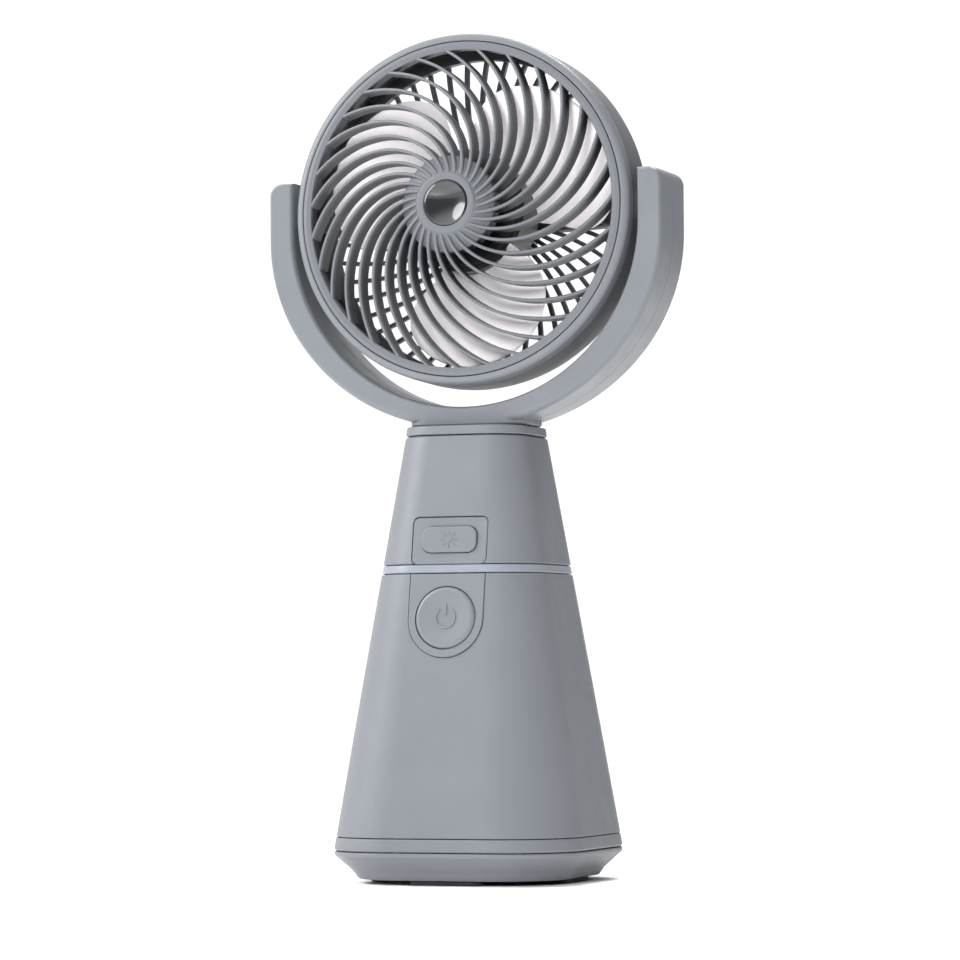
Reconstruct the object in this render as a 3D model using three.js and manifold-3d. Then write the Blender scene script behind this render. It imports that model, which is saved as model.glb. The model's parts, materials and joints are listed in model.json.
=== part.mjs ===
// Rechargeable desk fan: a round fan head tilts in a U-shaped yoke, and the yoke swivels
// on a tapered rounded-square tower that holds the battery, the boards and two push buttons.
// Millimetres, +Z up. The front of the fan faces -Y and the origin is under the base's centre.

import * as THREE from "three";
import { mergeVertices } from "three/addons/utils/BufferGeometryUtils.js";
import Module from "manifold-3d";

const wasm = await Module();
wasm.setup();

// ---------------------------------------------------------------- driving dimensions

const GAP = 0.3; // clearance between neighbouring pieces
const WALL = 2.4; // moulded wall thickness of the tower shells

// Tower: a rounded square that narrows evenly with height.
const TOWER_FOOT_Z = 13.8; // lower edge of the upright wall
const TOWER_FOOT_HALF = 54.4; // half side there
const TOWER_SLOPE = 0.1613; // loss of half side per mm of height
const CORNER_RATIO = 0.6; // corner radius over half side
const CORNER_STEPS = 4;
const RING_SIDES = 32; // facets round the head's rings
const ROUND_SIDES = 14; // facets round spindles, motor pieces and washers
const CELL_SIDES = 20;
const SMALL_SIDES = 8; // facets round posts and screw holes
const BASE_BOTTOM_Z = 1.9; // underside of the base pan, above the feet
const BASE_BOTTOM_HALF = 44.7;
const FOOT_HALF = [15.5, 4];
const FOOT_CORNER_R = 3;
const SKIRT_TOP_Z = 19.5;
const LIGHT_RING_Z = [128.2, 131.6];
const TOWER_TOP_Z = 185.6;
const COLLAR_TOP_Z = 189.7;

// Yoke: a U band around the head, with a neck that stands on the tower.
const PIVOT_Z = 280;
const BAND_OUTER_R = [87.3, 81.2]; // half width and half height of the outer half ellipse
const BAND_OUTER_DROP = 9.8; // its centre lies this far under the pivot
const BAND_INNER_R = 76.5;
const BAND_INNER_DROP = 5.5;
const BAND_HALF_DEPTH = 17;
const ARM_TOP = 15; // arm ends above the pivot
const ARM_CORNER_R = 5.5;
const BAND_WALL = 2;
const BOSS_R = 3.6; // screw bosses in the band
const BOSS_ANGLES = [-78, -32, 32, 78]; // from straight down
const NECK_BOTTOM_Z = COLLAR_TOP_Z + 0.4;
const NECK_TOP_Z = 197.4;
const NECK_HALF_WIDTH = 25.3;
const NECK_CORNER_R = 3.5;

// Swivel, on the tower's axis.
const SPINDLE_R = 9;
const SPINDLE_BORE_R = 5.5;
const SPINDLE_FLANGE_R = 14;
const SPINDLE_FLANGE_Z = [191.9, 194.1];
const SPINDLE_LOW_Z = 176.5;
const CLIP_GROOVE_Z = [178.1, 179.8];
const BUSH_R = 12;

// Head, measured along the fan axis from the pivot: negative is forward.
const HEAD_TILT = 2; // degrees that the front looks up at rest
const HEAD_R = 74;
const HEAD_WALL = 2.5;
const BARREL_Y = [-12, 6];
const SEAM_R = 70.5; // the bezel ring lies outside the seam, the grille's rim inside it
const OPENING_R = 66.8;
const RIM_Y = [-19.6, -16]; // front and back of the grille's rim
const DOME_Y = -36.4; // where the dome of ribs would meet the axis
const DOME_R = 67; // where it meets the rim
const RIB_COUNT = 31;
const RIB_TWIST = 0.0218; // radians of turn per mm of radius
const RIB_DEPTH = 8;
const HUB_DISC_R = 20.5;
const GRILLE_HUB_R = 12.3;
const HUB_FRONT_Y = -36.6; // front of the hub's rim
const HUB_FLOOR_Y = -33.4; // floor of the recess that holds the insert
const HUB_INSERT_R = 9.4;
const REAR_RIM_Y = 9;
const REAR_DOME = 17;
const REAR_RIB_COUNT = 24;
const REAR_RIB_TWIST = -0.005;
const REAR_ARM_HALF = 5.5; // half width of the two arms that carry the motor
const IMPELLER_R = 65;
const IMPELLER_HUB_R = 26;
const IMPELLER_HUB_Y = [-13, 7.5];
const BLADE_COUNT = 3;
const BLADE_ADVANCE = 13.1; // mm forward for each radian round the blade
const BLADE_T = 1.6;
const CAP_THICKNESS = 1.6; // dark cap on the impeller's hub
const NUT_R = 4;
const SHAFT_R = 1.5;
const BEARING_R = 4.5;
const MOTOR_R = 16.5;
const MOTOR_Y = [10, 29];
const MOTOR_CUP_R = 19.9;
const MOTOR_CUP_Y = [31.6, MOTOR_Y[1] + GAP, 17]; // back, floor and mouth of the cup that holds the motor
const HEAD_SCREW_R = 69.6; // the head's screws lie on this circle

// Tilt pivot.
const PIN_R = 3.5;
const PIN_HEAD_R = 5.5;
const PIN_X = [68.6, 70.9, 81.4]; // inner end, seat of the head and outer end of the right pin

// Controls: a round power button under the light ring and an oblong light button over it.
const PLATE_HALF_WIDTH = 16.3;
const PLATE_PROUD = 0.5;
const POCKET_DEPTH = 1.2;
const POWER_Z = 109.6;
const POWER_R = 13;
const PLATE_LOWER_Z = [93.3, LIGHT_RING_Z[0] - GAP];
const PLATE_UPPER_Z = [LIGHT_RING_Z[1] + GAP, 151.4];
const LIGHT_KEY_Z = 142;
const LIGHT_KEY_SIZE = [24, 11];
const BUTTON_PROUD = 1.3;
const BUTTON_FLANGE = 1.1;
const BUTTON_BACK = [2.75, 3.2, 3.9]; // depths of the flange's front, the cap's back and the flange's back
const SWITCH_FACE = 6.4; // depth of the tactile switches' bodies under the face
const SWITCH_BACK = 8.6;

// Electrics.
const CELL_R = 9.2;
const CELL_LENGTH = 65;
const CELL_Z = 17.6;
const CELL_Y = 10.2; // each cell's axis, in front of and behind the tower's axis
const BOARD_T = 1.6;
const MAIN_BOARD_Z = 31;

// ---------------------------------------------------------------- materials

const makeMaterial = (color, roughness, metalness = 0) =>
  new THREE.MeshStandardMaterial({ color, roughness, metalness });
const shellPlastic = makeMaterial(0x9fa3a8, 0.45);
const grillePlastic = makeMaterial(0x8c9096, 0.45);
const buttonPlastic = makeMaterial(0xa4a8ad, 0.4);
const lightPlastic = makeMaterial(0xc9ced6, 0.35);
const bladePlastic = makeMaterial(0xe6dfe4, 0.4);
const darkPlastic = makeMaterial(0x2a2c31, 0.25);
const whitePlastic = makeMaterial(0xd8d8d4, 0.5);
const rubber = makeMaterial(0x26272a, 0.85);
const steel = makeMaterial(0xb9bcc0, 0.35, 0.9);
const boardGreen = makeMaterial(0x2c5a3c, 0.6);
const cellWrap = makeMaterial(0x5b7fb0, 0.4);
const cableRed = makeMaterial(0x9c2f2c, 0.6);

// ---------------------------------------------------------------- geometry helpers

function signedVolume(geometry) {
  const position = geometry.attributes.position;
  const index = geometry.index.array;
  const [a, b, c] = [new THREE.Vector3(), new THREE.Vector3(), new THREE.Vector3()];
  let volume = 0;
  for (let i = 0; i < index.length; i += 3) {
    a.fromBufferAttribute(position, index[i]);
    b.fromBufferAttribute(position, index[i + 1]);
    c.fromBufferAttribute(position, index[i + 2]);
    volume += a.dot(b.cross(c)) / 6;
  }
  return volume;
}

// One closed solid from a three.js geometry: shared vertices merged, faces pointing out.
function toSolid(geometry) {
  const bare = geometry.clone();
  bare.deleteAttribute("normal");
  bare.deleteAttribute("uv");
  const merged = mergeVertices(bare, 1e-4);
  const inward = signedVolume(merged) < 0;
  const source = merged.index.array;
  const triangles = [];
  for (let i = 0; i < source.length; i += 3) {
    const [a, b, c] = [source[i], source[i + 1], source[i + 2]];
    if (a !== b && b !== c && c !== a) {
      triangles.push(a, inward ? c : b, inward ? b : c);
    }
  }
  return new wasm.Manifold(
    new wasm.Mesh({
      numProp: 3,
      vertProperties: Float32Array.from(merged.attributes.position.array),
      triVerts: Uint32Array.from(triangles),
    }),
  );
}

function toGeometry(solid) {
  const mesh = solid.getMesh();
  const geometry = new THREE.BufferGeometry();
  const vertices = Float32Array.from(mesh.vertProperties);
  geometry.setAttribute("position", new THREE.BufferAttribute(vertices, 3));
  geometry.setIndex(new THREE.BufferAttribute(Uint32Array.from(mesh.triVerts), 1));
  geometry.computeVertexNormals();
  return geometry;
}

const clean = (geometry) => toGeometry(toSolid(geometry));

function join(...geometries) {
  const [first, ...rest] = geometries.map(toSolid);
  return toGeometry(rest.reduce((sum, solid) => sum.add(solid), first));
}

function cut(geometry, ...tools) {
  return toGeometry(tools.map(toSolid).reduce((rest, tool) => rest.subtract(tool), toSolid(geometry)));
}

const common = (geometry, other) => toGeometry(toSolid(geometry).intersect(toSolid(other)));

// A solid of revolution about Y, from [radius, y] pairs.
function latheY(profile, segments = RING_SIDES, closed = false) {
  const points = profile.map(([radius, y]) => new THREE.Vector2(radius, y));
  if (closed) {
    points.push(points[0].clone());
  }
  return new THREE.LatheGeometry(points, segments);
}

const latheZ = (profile, segments, closed) => latheY(profile, segments, closed).rotateX(Math.PI / 2);
const latheX = (profile, segments, closed) => latheY(profile, segments, closed).rotateZ(-Math.PI / 2);

// One copy of an upright disc at each [x, y] place, and of a disc across the fan axis at each [x, z].
const postsAt = (places, radius, low, high) =>
  places.map(([x, y]) => latheZ(discProfile(radius, low, high), SMALL_SIDES).translate(x, y, 0));
const rodsAt = (places, radius, low, high) =>
  places.map(([x, z]) => latheY(discProfile(radius, low, high), SMALL_SIDES).translate(x, 0, z));

// Rings and discs as [radius, height] profiles.
const ringProfile = (inner, outer, low, high) => [[inner, low], [outer, low], [outer, high], [inner, high]];
const discProfile = (radius, low, high) => ringProfile(0, radius, low, high);

function box(width, depth, height, x = 0, y = 0, z = 0) {
  return new THREE.BoxGeometry(width, depth, height).translate(x, y, z);
}

// One level of a rounded-square or rounded-rectangle body, counter-clockwise from above.
function level(z, halfX, halfY = halfX, radius = CORNER_RATIO * halfX) {
  const points = [];
  for (let corner = 0; corner < 4; corner++) {
    const centreX = (corner === 0 || corner === 3 ? 1 : -1) * (halfX - radius);
    const centreY = (corner < 2 ? 1 : -1) * (halfY - radius);
    for (let step = 0; step <= CORNER_STEPS; step++) {
      const angle = ((corner + step / CORNER_STEPS) * Math.PI) / 2;
      const x = centreX + radius * Math.cos(angle);
      const y = centreY + radius * Math.sin(angle);
      points.push(new THREE.Vector3(x, y, z));
    }
  }
  return points;
}

// Skin over a stack of rings with equal point counts: capped, or closed on itself as a tube wall.
function loft(rings, closed = false) {
  const size = rings[0].length;
  const index = [];
  const pairs = closed ? rings.length : rings.length - 1;
  for (let row = 0; row < pairs; row++) {
    const here = row * size;
    const next = ((row + 1) % rings.length) * size;
    for (let i = 0; i < size; i++) {
      const j = (i + 1) % size;
      index.push(here + i, here + j, next + j, here + i, next + j, next + i);
    }
  }
  if (!closed) {
    const top = (rings.length - 1) * size;
    for (let i = 1; i < size - 1; i++) {
      index.push(0, i + 1, i, top, top + i, top + i + 1);
    }
  }
  const geometry = new THREE.BufferGeometry().setFromPoints(rings.flat());
  geometry.setIndex(index);
  return geometry;
}

const towerHalf = (z) => TOWER_FOOT_HALF - TOWER_SLOPE * (z - TOWER_FOOT_Z);
// The tower's section at a height, moved in from the outer skin.
function towerLevel(z, inset = 0) {
  const half = towerHalf(z);
  return level(z, half - inset, half - inset, CORNER_RATIO * half - inset);
}

// An outline in the XZ plane, as the fan is seen from the front, made solid from yLow to yHigh.
function slab(shape, yLow, yHigh, curveSegments = 11) {
  const settings = { depth: yHigh - yLow, bevelEnabled: false, curveSegments };
  return new THREE.ExtrudeGeometry(shape, settings).rotateX(Math.PI / 2).translate(0, yHigh, 0);
}

function roundedRect(halfX, halfZ, radius) {
  const shape = new THREE.Shape();
  shape.moveTo(-halfX + radius, -halfZ);
  shape.lineTo(halfX - radius, -halfZ);
  shape.absarc(halfX - radius, -halfZ + radius, radius, -Math.PI / 2, 0);
  shape.lineTo(halfX, halfZ - radius);
  shape.absarc(halfX - radius, halfZ - radius, radius, 0, Math.PI / 2);
  shape.lineTo(-halfX + radius, halfZ);
  shape.absarc(-halfX + radius, halfZ - radius, radius, Math.PI / 2, Math.PI);
  shape.lineTo(-halfX, -halfZ + radius);
  shape.absarc(-halfX + radius, -halfZ + radius, radius, Math.PI, 1.5 * Math.PI);
  return shape;
}

function place(parent, name, geometry, material, x = 0, y = 0, z = 0) {
  const mesh = new THREE.Mesh(clean(geometry), material);
  mesh.name = name;
  mesh.position.set(x, y, z);
  parent.add(mesh);
  return mesh;
}

// A pan-head screw along +Z: the head's top at 0, the shank below it.
function screw(headR, headHeight, shankR, length) {
  const profile = [
    [0, -length],
    [shankR, -length],
    [shankR, -headHeight],
    [headR, -headHeight],
    [headR * 0.9, 0],
    [0, 0],
  ];
  return latheZ(profile, 6);
}

// ---------------------------------------------------------------- tower shells

const SCREW_POST_XY = 27; // base screw posts, from the tower's axis
const POST_R = 4;
const POST_TOP_Z = 27;
const SCREW_HOLE_R = 1.6;

const postPlaces = [];
for (const sx of [-1, 1]) {
  for (const sy of [-1, 1]) {
    postPlaces.push([sx * SCREW_POST_XY, sy * SCREW_POST_XY]);
  }
}

function basePan() {
  const floor = BASE_BOTTOM_Z + WALL;
  const rim = TOWER_FOOT_Z - GAP;
  const outer = [
    level(BASE_BOTTOM_Z, BASE_BOTTOM_HALF),
    level(4.2, 46.2),
    level(5.6, 47.8),
    level(rim - 1.6, TOWER_FOOT_HALF - 0.2),
    level(rim, TOWER_FOOT_HALF - 0.2),
  ];
  const inner = [level(rim, TOWER_FOOT_HALF - WALL - 0.4), level(6.8, 46), level(floor, 44)];
  const skin = loft([...outer, ...inner]);
  const holes = postsAt(postPlaces, SCREW_HOLE_R, 0, floor + 4);
  const recesses = postsAt(postPlaces, 3.2, 0, BASE_BOTTOM_Z + 1.2);
  return cut(skin, ...holes, ...recesses);
}

function baseSkirt() {
  const top = SKIRT_TOP_Z - GAP;
  return loft(
    [
      towerLevel(TOWER_FOOT_Z),
      towerLevel(top),
      towerLevel(top, WALL),
      towerLevel(TOWER_FOOT_Z, WALL),
    ],
    true,
  );
}

function foot(alongX) {
  const [halfX, halfY] = alongX ? FOOT_HALF : [...FOOT_HALF].reverse();
  const edge = 0.4; // chamfer where it meets the desk
  return loft([
    level(0, halfX - edge, halfY - edge, FOOT_CORNER_R - edge),
    level(edge, halfX, halfY, FOOT_CORNER_R),
    level(BASE_BOTTOM_Z - GAP, halfX, halfY, FOOT_CORNER_R),
  ]);
}

// A frame on the tower's sloping front face: local -Y points out and local +Z up the slope.
function faceFrame(z) {
  const group = new THREE.Group();
  group.position.set(0, -towerHalf(z), z);
  group.rotation.x = -Math.atan(TOWER_SLOPE);
  group.updateMatrixWorld(true);
  return group;
}

const SLOPE_SCALE = Math.hypot(1, TOWER_SLOPE); // length up the slope per mm of height

// Outlines of the two control plates in their face frames.
function lowerPlateShape(inset) {
  const half = PLATE_HALF_WIDTH - inset;
  const top = (PLATE_LOWER_Z[1] - POWER_Z) * SLOPE_SCALE - inset;
  const low = (PLATE_LOWER_Z[0] - POWER_Z) * SLOPE_SCALE + PLATE_HALF_WIDTH;
  const shape = new THREE.Shape();
  shape.moveTo(half, low);
  shape.lineTo(half, top);
  shape.lineTo(-half, top);
  shape.lineTo(-half, low);
  shape.absarc(0, low, half, Math.PI, 2 * Math.PI);
  return shape;
}

function upperPlateShape(inset) {
  const halfHeight = ((PLATE_UPPER_Z[1] - PLATE_UPPER_Z[0]) / 2) * SLOPE_SCALE;
  return roundedRect(PLATE_HALF_WIDTH - inset, halfHeight - inset, 2.5);
}

const upperPlateZ = (PLATE_UPPER_Z[0] + PLATE_UPPER_Z[1]) / 2;
const powerFrame = faceFrame(POWER_Z);
const lightFrame = faceFrame(LIGHT_KEY_Z);
const upperPlateFrame = faceFrame(upperPlateZ);

const circleShape = (radius) => new THREE.Shape().absarc(0, 0, radius, 0, 2 * Math.PI);
const keyShape = (grow) =>
  roundedRect(LIGHT_KEY_SIZE[0] / 2 + grow, LIGHT_KEY_SIZE[1] / 2 + grow, 4 + grow);

function socketCutter() {
  const z = MAIN_BOARD_Z + BOARD_T + 1.9;
  return slab(roundedRect(4.9, 2, 1.9), 40, 60, 2).translate(0, 0, z);
}

function lowerHousing() {
  const top = LIGHT_RING_Z[0] - GAP;
  const shell = loft(
    [
      towerLevel(SKIRT_TOP_Z),
      towerLevel(top),
      towerLevel(top, WALL),
      towerLevel(SKIRT_TOP_Z, WALL),
    ],
    true,
  );
  const cornerR = towerHalf(SKIRT_TOP_Z + 8) * (Math.SQRT2 - CORNER_RATIO * (Math.SQRT2 - 1));
  const webReach = cornerR - SCREW_POST_XY * Math.SQRT2 - WALL / 2; // from a post into the corner wall
  const posts = postsAt(postPlaces, POST_R, BASE_BOTTOM_Z + WALL + GAP, POST_TOP_Z);
  const webs = postPlaces.map(([x, y]) => {
    const web = box(3, webReach, 5, 0, webReach / 2, SKIRT_TOP_Z + 4);
    return web.rotateZ(Math.atan2(-x, y)).translate(x, y, 0);
  });
  const bores = postsAt(postPlaces, SCREW_HOLE_R, 0, POST_TOP_Z - 3);
  const pocket = slab(lowerPlateShape(-GAP), -5, POCKET_DEPTH).applyMatrix4(powerFrame.matrixWorld);
  const mouth = slab(circleShape(POWER_R + GAP), -5, 9).applyMatrix4(powerFrame.matrixWorld);
  return cut(join(shell, ...posts, ...webs), ...bores, pocket, mouth, socketCutter());
}

function lightRing() {
  const [low, high] = LIGHT_RING_Z;
  const lip = WALL + GAP;
  return loft(
    [
      towerLevel(low),
      towerLevel(high),
      towerLevel(high, lip),
      towerLevel(high + 2.2, lip),
      towerLevel(high + 2.2, lip + 1.5),
      towerLevel(low - 2.2, lip + 1.5),
      towerLevel(low - 2.2, lip),
      towerLevel(low, lip),
    ],
    true,
  );
}

function upperHousing() {
  const low = LIGHT_RING_Z[1] + GAP;
  const roof = TOWER_TOP_Z - WALL;
  const shell = loft([
    towerLevel(low),
    towerLevel(TOWER_TOP_Z),
    towerLevel(TOWER_TOP_Z, 3),
  ]);
  const cavity = loft([towerLevel(low - 1, WALL), towerLevel(roof, WALL)]);
  const pocket = slab(upperPlateShape(-GAP), -5, POCKET_DEPTH, 2).applyMatrix4(upperPlateFrame.matrixWorld);
  const mouth = slab(keyShape(GAP), -5, 9, 2).applyMatrix4(lightFrame.matrixWorld);
  const bushHole = latheZ(discProfile(BUSH_R + GAP, roof - 2, TOWER_TOP_Z + 1), ROUND_SIDES);
  return cut(shell, cavity, pocket, mouth, bushHole);
}

function neckCollar() {
  const low = TOWER_TOP_Z + GAP;
  const half = towerHalf(TOWER_TOP_Z) - 0.1;
  const plate = loft([level(low, half), level(COLLAR_TOP_Z, half - 0.4)]);
  return cut(plate, latheZ(discProfile(BUSH_R + GAP, low - 1, COLLAR_TOP_Z + 1), ROUND_SIDES));
}

// ---------------------------------------------------------------- electrics in the tower

function batteryTray() {
  const low = BASE_BOTTOM_Z + WALL + GAP;
  const high = CELL_Z - 1;
  const block = box(CELL_LENGTH + 5, 4 * CELL_Y + 2, high - low, 0, 0, (low + high) / 2);
  const saddles = [-1, 1].map((side) => {
    const length = CELL_LENGTH / 2 + 2 * GAP;
    const saddle = latheX(discProfile(CELL_R + GAP, -length, length), CELL_SIDES);
    return saddle.translate(0, side * CELL_Y, CELL_Z);
  });
  return cut(block, ...saddles);
}

function batteryCell() {
  const half = CELL_LENGTH / 2;
  const cap = 3; // radius of the raised positive end
  return latheX(
    [[0, -half], [CELL_R, -half], [CELL_R, half - 1], [cap, half - 1], [cap, half], [0, half]],
    CELL_SIDES,
  );
}

function chargeSocket() {
  const shell = slab(roundedRect(4.5, 1.6, 1.5), 0, 8.5, 2);
  return cut(shell, slab(roundedRect(4.1, 1.2, 1.1), 2.5, 10, 2));
}

function mainBoard() {
  const slot = 2 * CELL_R;
  const plate = box(46, 34, BOARD_T, 0, 29, 0);
  const chips = [box(9, 9, 2, -12, 24, 1.6), box(6, 8, 3, 10, 20, 2.1), box(7, 5, 4, 12, 34, 2.6)];
  return cut(join(plate, ...chips), box(6, slot, 4, 0, 12, 0));
}

function batteryLead() {
  const start = new THREE.Vector3(CELL_LENGTH / 2 + 2, -CELL_Y, CELL_Z + 4);
  const route = [
    start,
    new THREE.Vector3(36, -8, 26),
    new THREE.Vector3(34, -2, 33),
    new THREE.Vector3(26, 8, 36.5),
    new THREE.Vector3(18, 15, 36.5),
  ];
  const section = new THREE.Shape().absarc(0, 0, 1, 0, 2 * Math.PI);
  const settings = { steps: 12, curveSegments: 3, extrudePath: new THREE.CatmullRomCurve3(route) };
  return new THREE.ExtrudeGeometry(section, settings);
}

function ledBoard() {
  const z = (LIGHT_RING_Z[0] + LIGHT_RING_Z[1]) / 2 - 1;
  const half = towerHalf(z) - WALL - 2.4;
  const thick = 1.2;
  const inner = half - 3;
  const band = loft([level(z, half), level(z + thick, half), level(z + thick, inner), level(z, inner)], true);
  const leds = [];
  for (let i = 0; i < 4; i++) {
    leds.push(box(3, 1.4, 1.2, 0, half - 1.2, z + thick + 0.5).rotateZ((i * Math.PI) / 2));
  }
  return join(band, ...leds);
}

// A tactile switch in a face frame: its body on the board and its stem towards the button.
function tactSwitch() {
  const body = slab(roundedRect(3, 3, 0.4), SWITCH_FACE, SWITCH_BACK, 1);
  return join(body, slab(circleShape(1.6), SWITCH_FACE - 1.2, SWITCH_FACE + 0.1, 5));
}

const [FLANGE_FRONT, CAP_BACK, FLANGE_BACK] = BUTTON_BACK;

function powerButton() {
  const cap = slab(circleShape(POWER_R), -BUTTON_PROUD, CAP_BACK);
  return join(cap, slab(circleShape(POWER_R + BUTTON_FLANGE), FLANGE_FRONT, FLANGE_BACK));
}

function lightButton() {
  const cap = slab(keyShape(0), -BUTTON_PROUD, CAP_BACK, 2);
  return join(cap, slab(keyShape(BUTTON_FLANGE), FLANGE_FRONT, FLANGE_BACK, 2));
}

// ---------------------------------------------------------------- yoke

// The band's outline about the pivot, moved in from its surface by an inset.
function bandShape(inset) {
  const [outerR, outerHeight] = BAND_OUTER_R.map((radius) => radius - inset);
  const innerR = BAND_INNER_R + inset;
  const top = ARM_TOP - inset;
  const cornerR = ARM_CORNER_R - inset;
  const shape = new THREE.Shape();
  shape.moveTo(outerR, -BAND_OUTER_DROP);
  shape.lineTo(outerR, top - cornerR);
  shape.lineTo(outerR - 0.3 * cornerR, top - 0.3 * cornerR);
  shape.lineTo(outerR - cornerR, top);
  shape.lineTo(innerR, top);
  shape.lineTo(innerR, -BAND_INNER_DROP);
  shape.absarc(0, -BAND_INNER_DROP, innerR, 0, -Math.PI, true);
  shape.lineTo(-innerR, top);
  shape.lineTo(-outerR + cornerR, top);
  shape.lineTo(-outerR + 0.3 * cornerR, top - 0.3 * cornerR);
  shape.lineTo(-outerR, top - cornerR);
  shape.lineTo(-outerR, -BAND_OUTER_DROP);
  shape.absellipse(0, -BAND_OUTER_DROP, outerR, outerHeight, -Math.PI, 0);
  return shape;
}

const bandMiddleR = (BAND_OUTER_R[0] + BAND_INNER_R) / 2;
const bandMiddleDrop = BAND_INNER_DROP;
const bossPlaces = BOSS_ANGLES.map((degrees) => {
  const angle = THREE.MathUtils.degToRad(degrees);
  return [bandMiddleR * Math.sin(angle), -bandMiddleDrop - bandMiddleR * Math.cos(angle)];
});

function neckBlock() {
  const [low, high] = [NECK_BOTTOM_Z - PIVOT_Z, NECK_TOP_Z - PIVOT_Z];
  const section = (z) => level(z, NECK_HALF_WIDTH, BAND_HALF_DEPTH, NECK_CORNER_R);
  return loft([section(low), section(high)]);
}

// Everything of the yoke about the pivot, before it is split into two shells.
function wholeYoke() {
  const depth = BAND_HALF_DEPTH;
  const band = slab(bandShape(0), -depth, depth);
  const channel = slab(bandShape(BAND_WALL), -depth + BAND_WALL, depth - BAND_WALL);
  const bosses = rodsAt(bossPlaces, BOSS_R, -depth + 1, depth - 1);
  const bores = rodsAt(bossPlaces, SCREW_HOLE_R, -8.5, depth + 1);
  const recesses = rodsAt(bossPlaces, 2.9, depth - 2.2, depth + 1);
  const [flangeLow, flangeHigh] = SPINDLE_FLANGE_Z;
  const flangeR = SPINDLE_FLANGE_R + GAP;
  const seat = latheZ(
    [
      [0, NECK_BOTTOM_Z - 1],
      [SPINDLE_R + GAP, NECK_BOTTOM_Z - 1],
      [SPINDLE_R + GAP, flangeLow - GAP],
      [flangeR, flangeLow - GAP],
      [flangeR, flangeHigh + GAP],
      [SPINDLE_BORE_R, flangeHigh + GAP],
      [SPINDLE_BORE_R, NECK_TOP_Z - 0.4],
      [0, NECK_TOP_Z - 0.4],
    ],
    ROUND_SIDES,
  ).translate(0, 0, -PIVOT_Z);
  const pinHole = latheX(discProfile(PIN_R + GAP, -82, 82), ROUND_SIDES);
  const below = box(400, 400, 50, 0, 0, NECK_BOTTOM_Z - PIVOT_Z - 25);
  const hollow = cut(band, channel);
  return cut(join(hollow, neckBlock(), ...bosses), ...bores, ...recesses, seat, pinHole, below);
}

const halfSpace = (side) => box(400, 100, 400, 0, side * (50 + GAP / 2), 0);

function swivelSpindle() {
  const [grooveLow, grooveHigh] = CLIP_GROOVE_Z;
  const [flangeLow, flangeHigh] = SPINDLE_FLANGE_Z;
  return latheZ(
    [
      [SPINDLE_BORE_R, SPINDLE_LOW_Z],
      [SPINDLE_R - 0.4, SPINDLE_LOW_Z],
      [SPINDLE_R - 0.4, grooveLow],
      [SPINDLE_R - 1.2, grooveLow],
      [SPINDLE_R - 1.2, grooveHigh],
      [SPINDLE_R, grooveHigh],
      [SPINDLE_R, flangeLow],
      [SPINDLE_FLANGE_R, flangeLow],
      [SPINDLE_FLANGE_R, flangeHigh],
      [SPINDLE_BORE_R, flangeHigh],
    ],
    ROUND_SIDES,
    true,
  );
}

function swivelBush() {
  const inner = SPINDLE_R + GAP;
  const flangeTop = TOWER_TOP_Z - WALL - GAP;
  return latheZ(
    [
      [inner, flangeTop - 1.5],
      [15, flangeTop - 1.5],
      [15, flangeTop],
      [BUSH_R, flangeTop],
      [BUSH_R, COLLAR_TOP_Z],
      [inner, COLLAR_TOP_Z],
    ],
    ROUND_SIDES,
    true,
  );
}

// ---------------------------------------------------------------- head

// A rib that winds out over a dome: the path turns with its radius and its front edge follows domeY.
function spiralRib({ startAngle, twist, innerR, outerR, domeY, width, depth, steps }) {
  const rings = [];
  for (let i = 0; i <= steps; i++) {
    const radius = innerR + ((outerR - innerR) * i) / steps;
    const angle = startAngle + twist * radius;
    const lean = Math.atan(twist * radius);
    const across = angle + lean + Math.PI / 2;
    const [dx, dz] = [(Math.cos(across) * width) / 2, (Math.sin(across) * width) / 2];
    const [x, y, z] = [radius * Math.cos(angle), domeY(radius), radius * Math.sin(angle)];
    rings.push([
      new THREE.Vector3(x - dx, y, z - dz),
      new THREE.Vector3(x + dx, y, z + dz),
      new THREE.Vector3(x + dx, y + depth, z + dz),
      new THREE.Vector3(x - dx, y + depth, z - dz),
    ]);
  }
  return loft(rings);
}

const frontDomeY = (radius) => DOME_Y + (RIM_Y[0] - DOME_Y) * (radius / DOME_R) ** 2;
const rearDomeY = (radius) => REAR_RIM_Y + REAR_DOME * (1 - (radius / 72) ** 2);

function ribRing(count, settings) {
  const ribs = [];
  for (let i = 0; i < count; i++) {
    ribs.push(spiralRib({ ...settings, startAngle: (i * 2 * Math.PI) / count }));
  }
  return ribs;
}

// The bezel: a rounded ring with a ledge inside it that the grille's rim rests on.
function frontRing() {
  const back = BARREL_Y[0] - GAP;
  const ledge = RIM_Y[1] + GAP;
  return latheY(
    [
      [HEAD_R, back],
      [SEAM_R - 0.5, back],
      [SEAM_R - 2, ledge + 1.4],
      [SEAM_R - 2, ledge],
      [SEAM_R, ledge],
      [SEAM_R, RIM_Y[0] + 0.4],
      [HEAD_R - 2, RIM_Y[0] + 1.2],
      [HEAD_R - 0.6, RIM_Y[0] + 3.2],
    ],
    RING_SIDES,
    true,
  );
}

function headBarrel() {
  const [front, back] = BARREL_Y;
  const wall = latheY(ringProfile(HEAD_R - HEAD_WALL, HEAD_R, front, back), RING_SIDES, true);
  const bosses = rodsAt(headScrewPlaces, 2.9, -1, back);
  const bores = rodsAt(headScrewPlaces, 1.4, 0, back + 1);
  const pinHole = latheX(discProfile(PIN_R + GAP, -80, 80), ROUND_SIDES);
  return cut(join(wall, ...bosses), ...bores, pinHole);
}

const headScrewPlaces = [45, 135, 225, 315].map((degrees) => {
  const angle = THREE.MathUtils.degToRad(degrees);
  return [HEAD_SCREW_R * Math.cos(angle), HEAD_SCREW_R * Math.sin(angle)];
});

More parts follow.
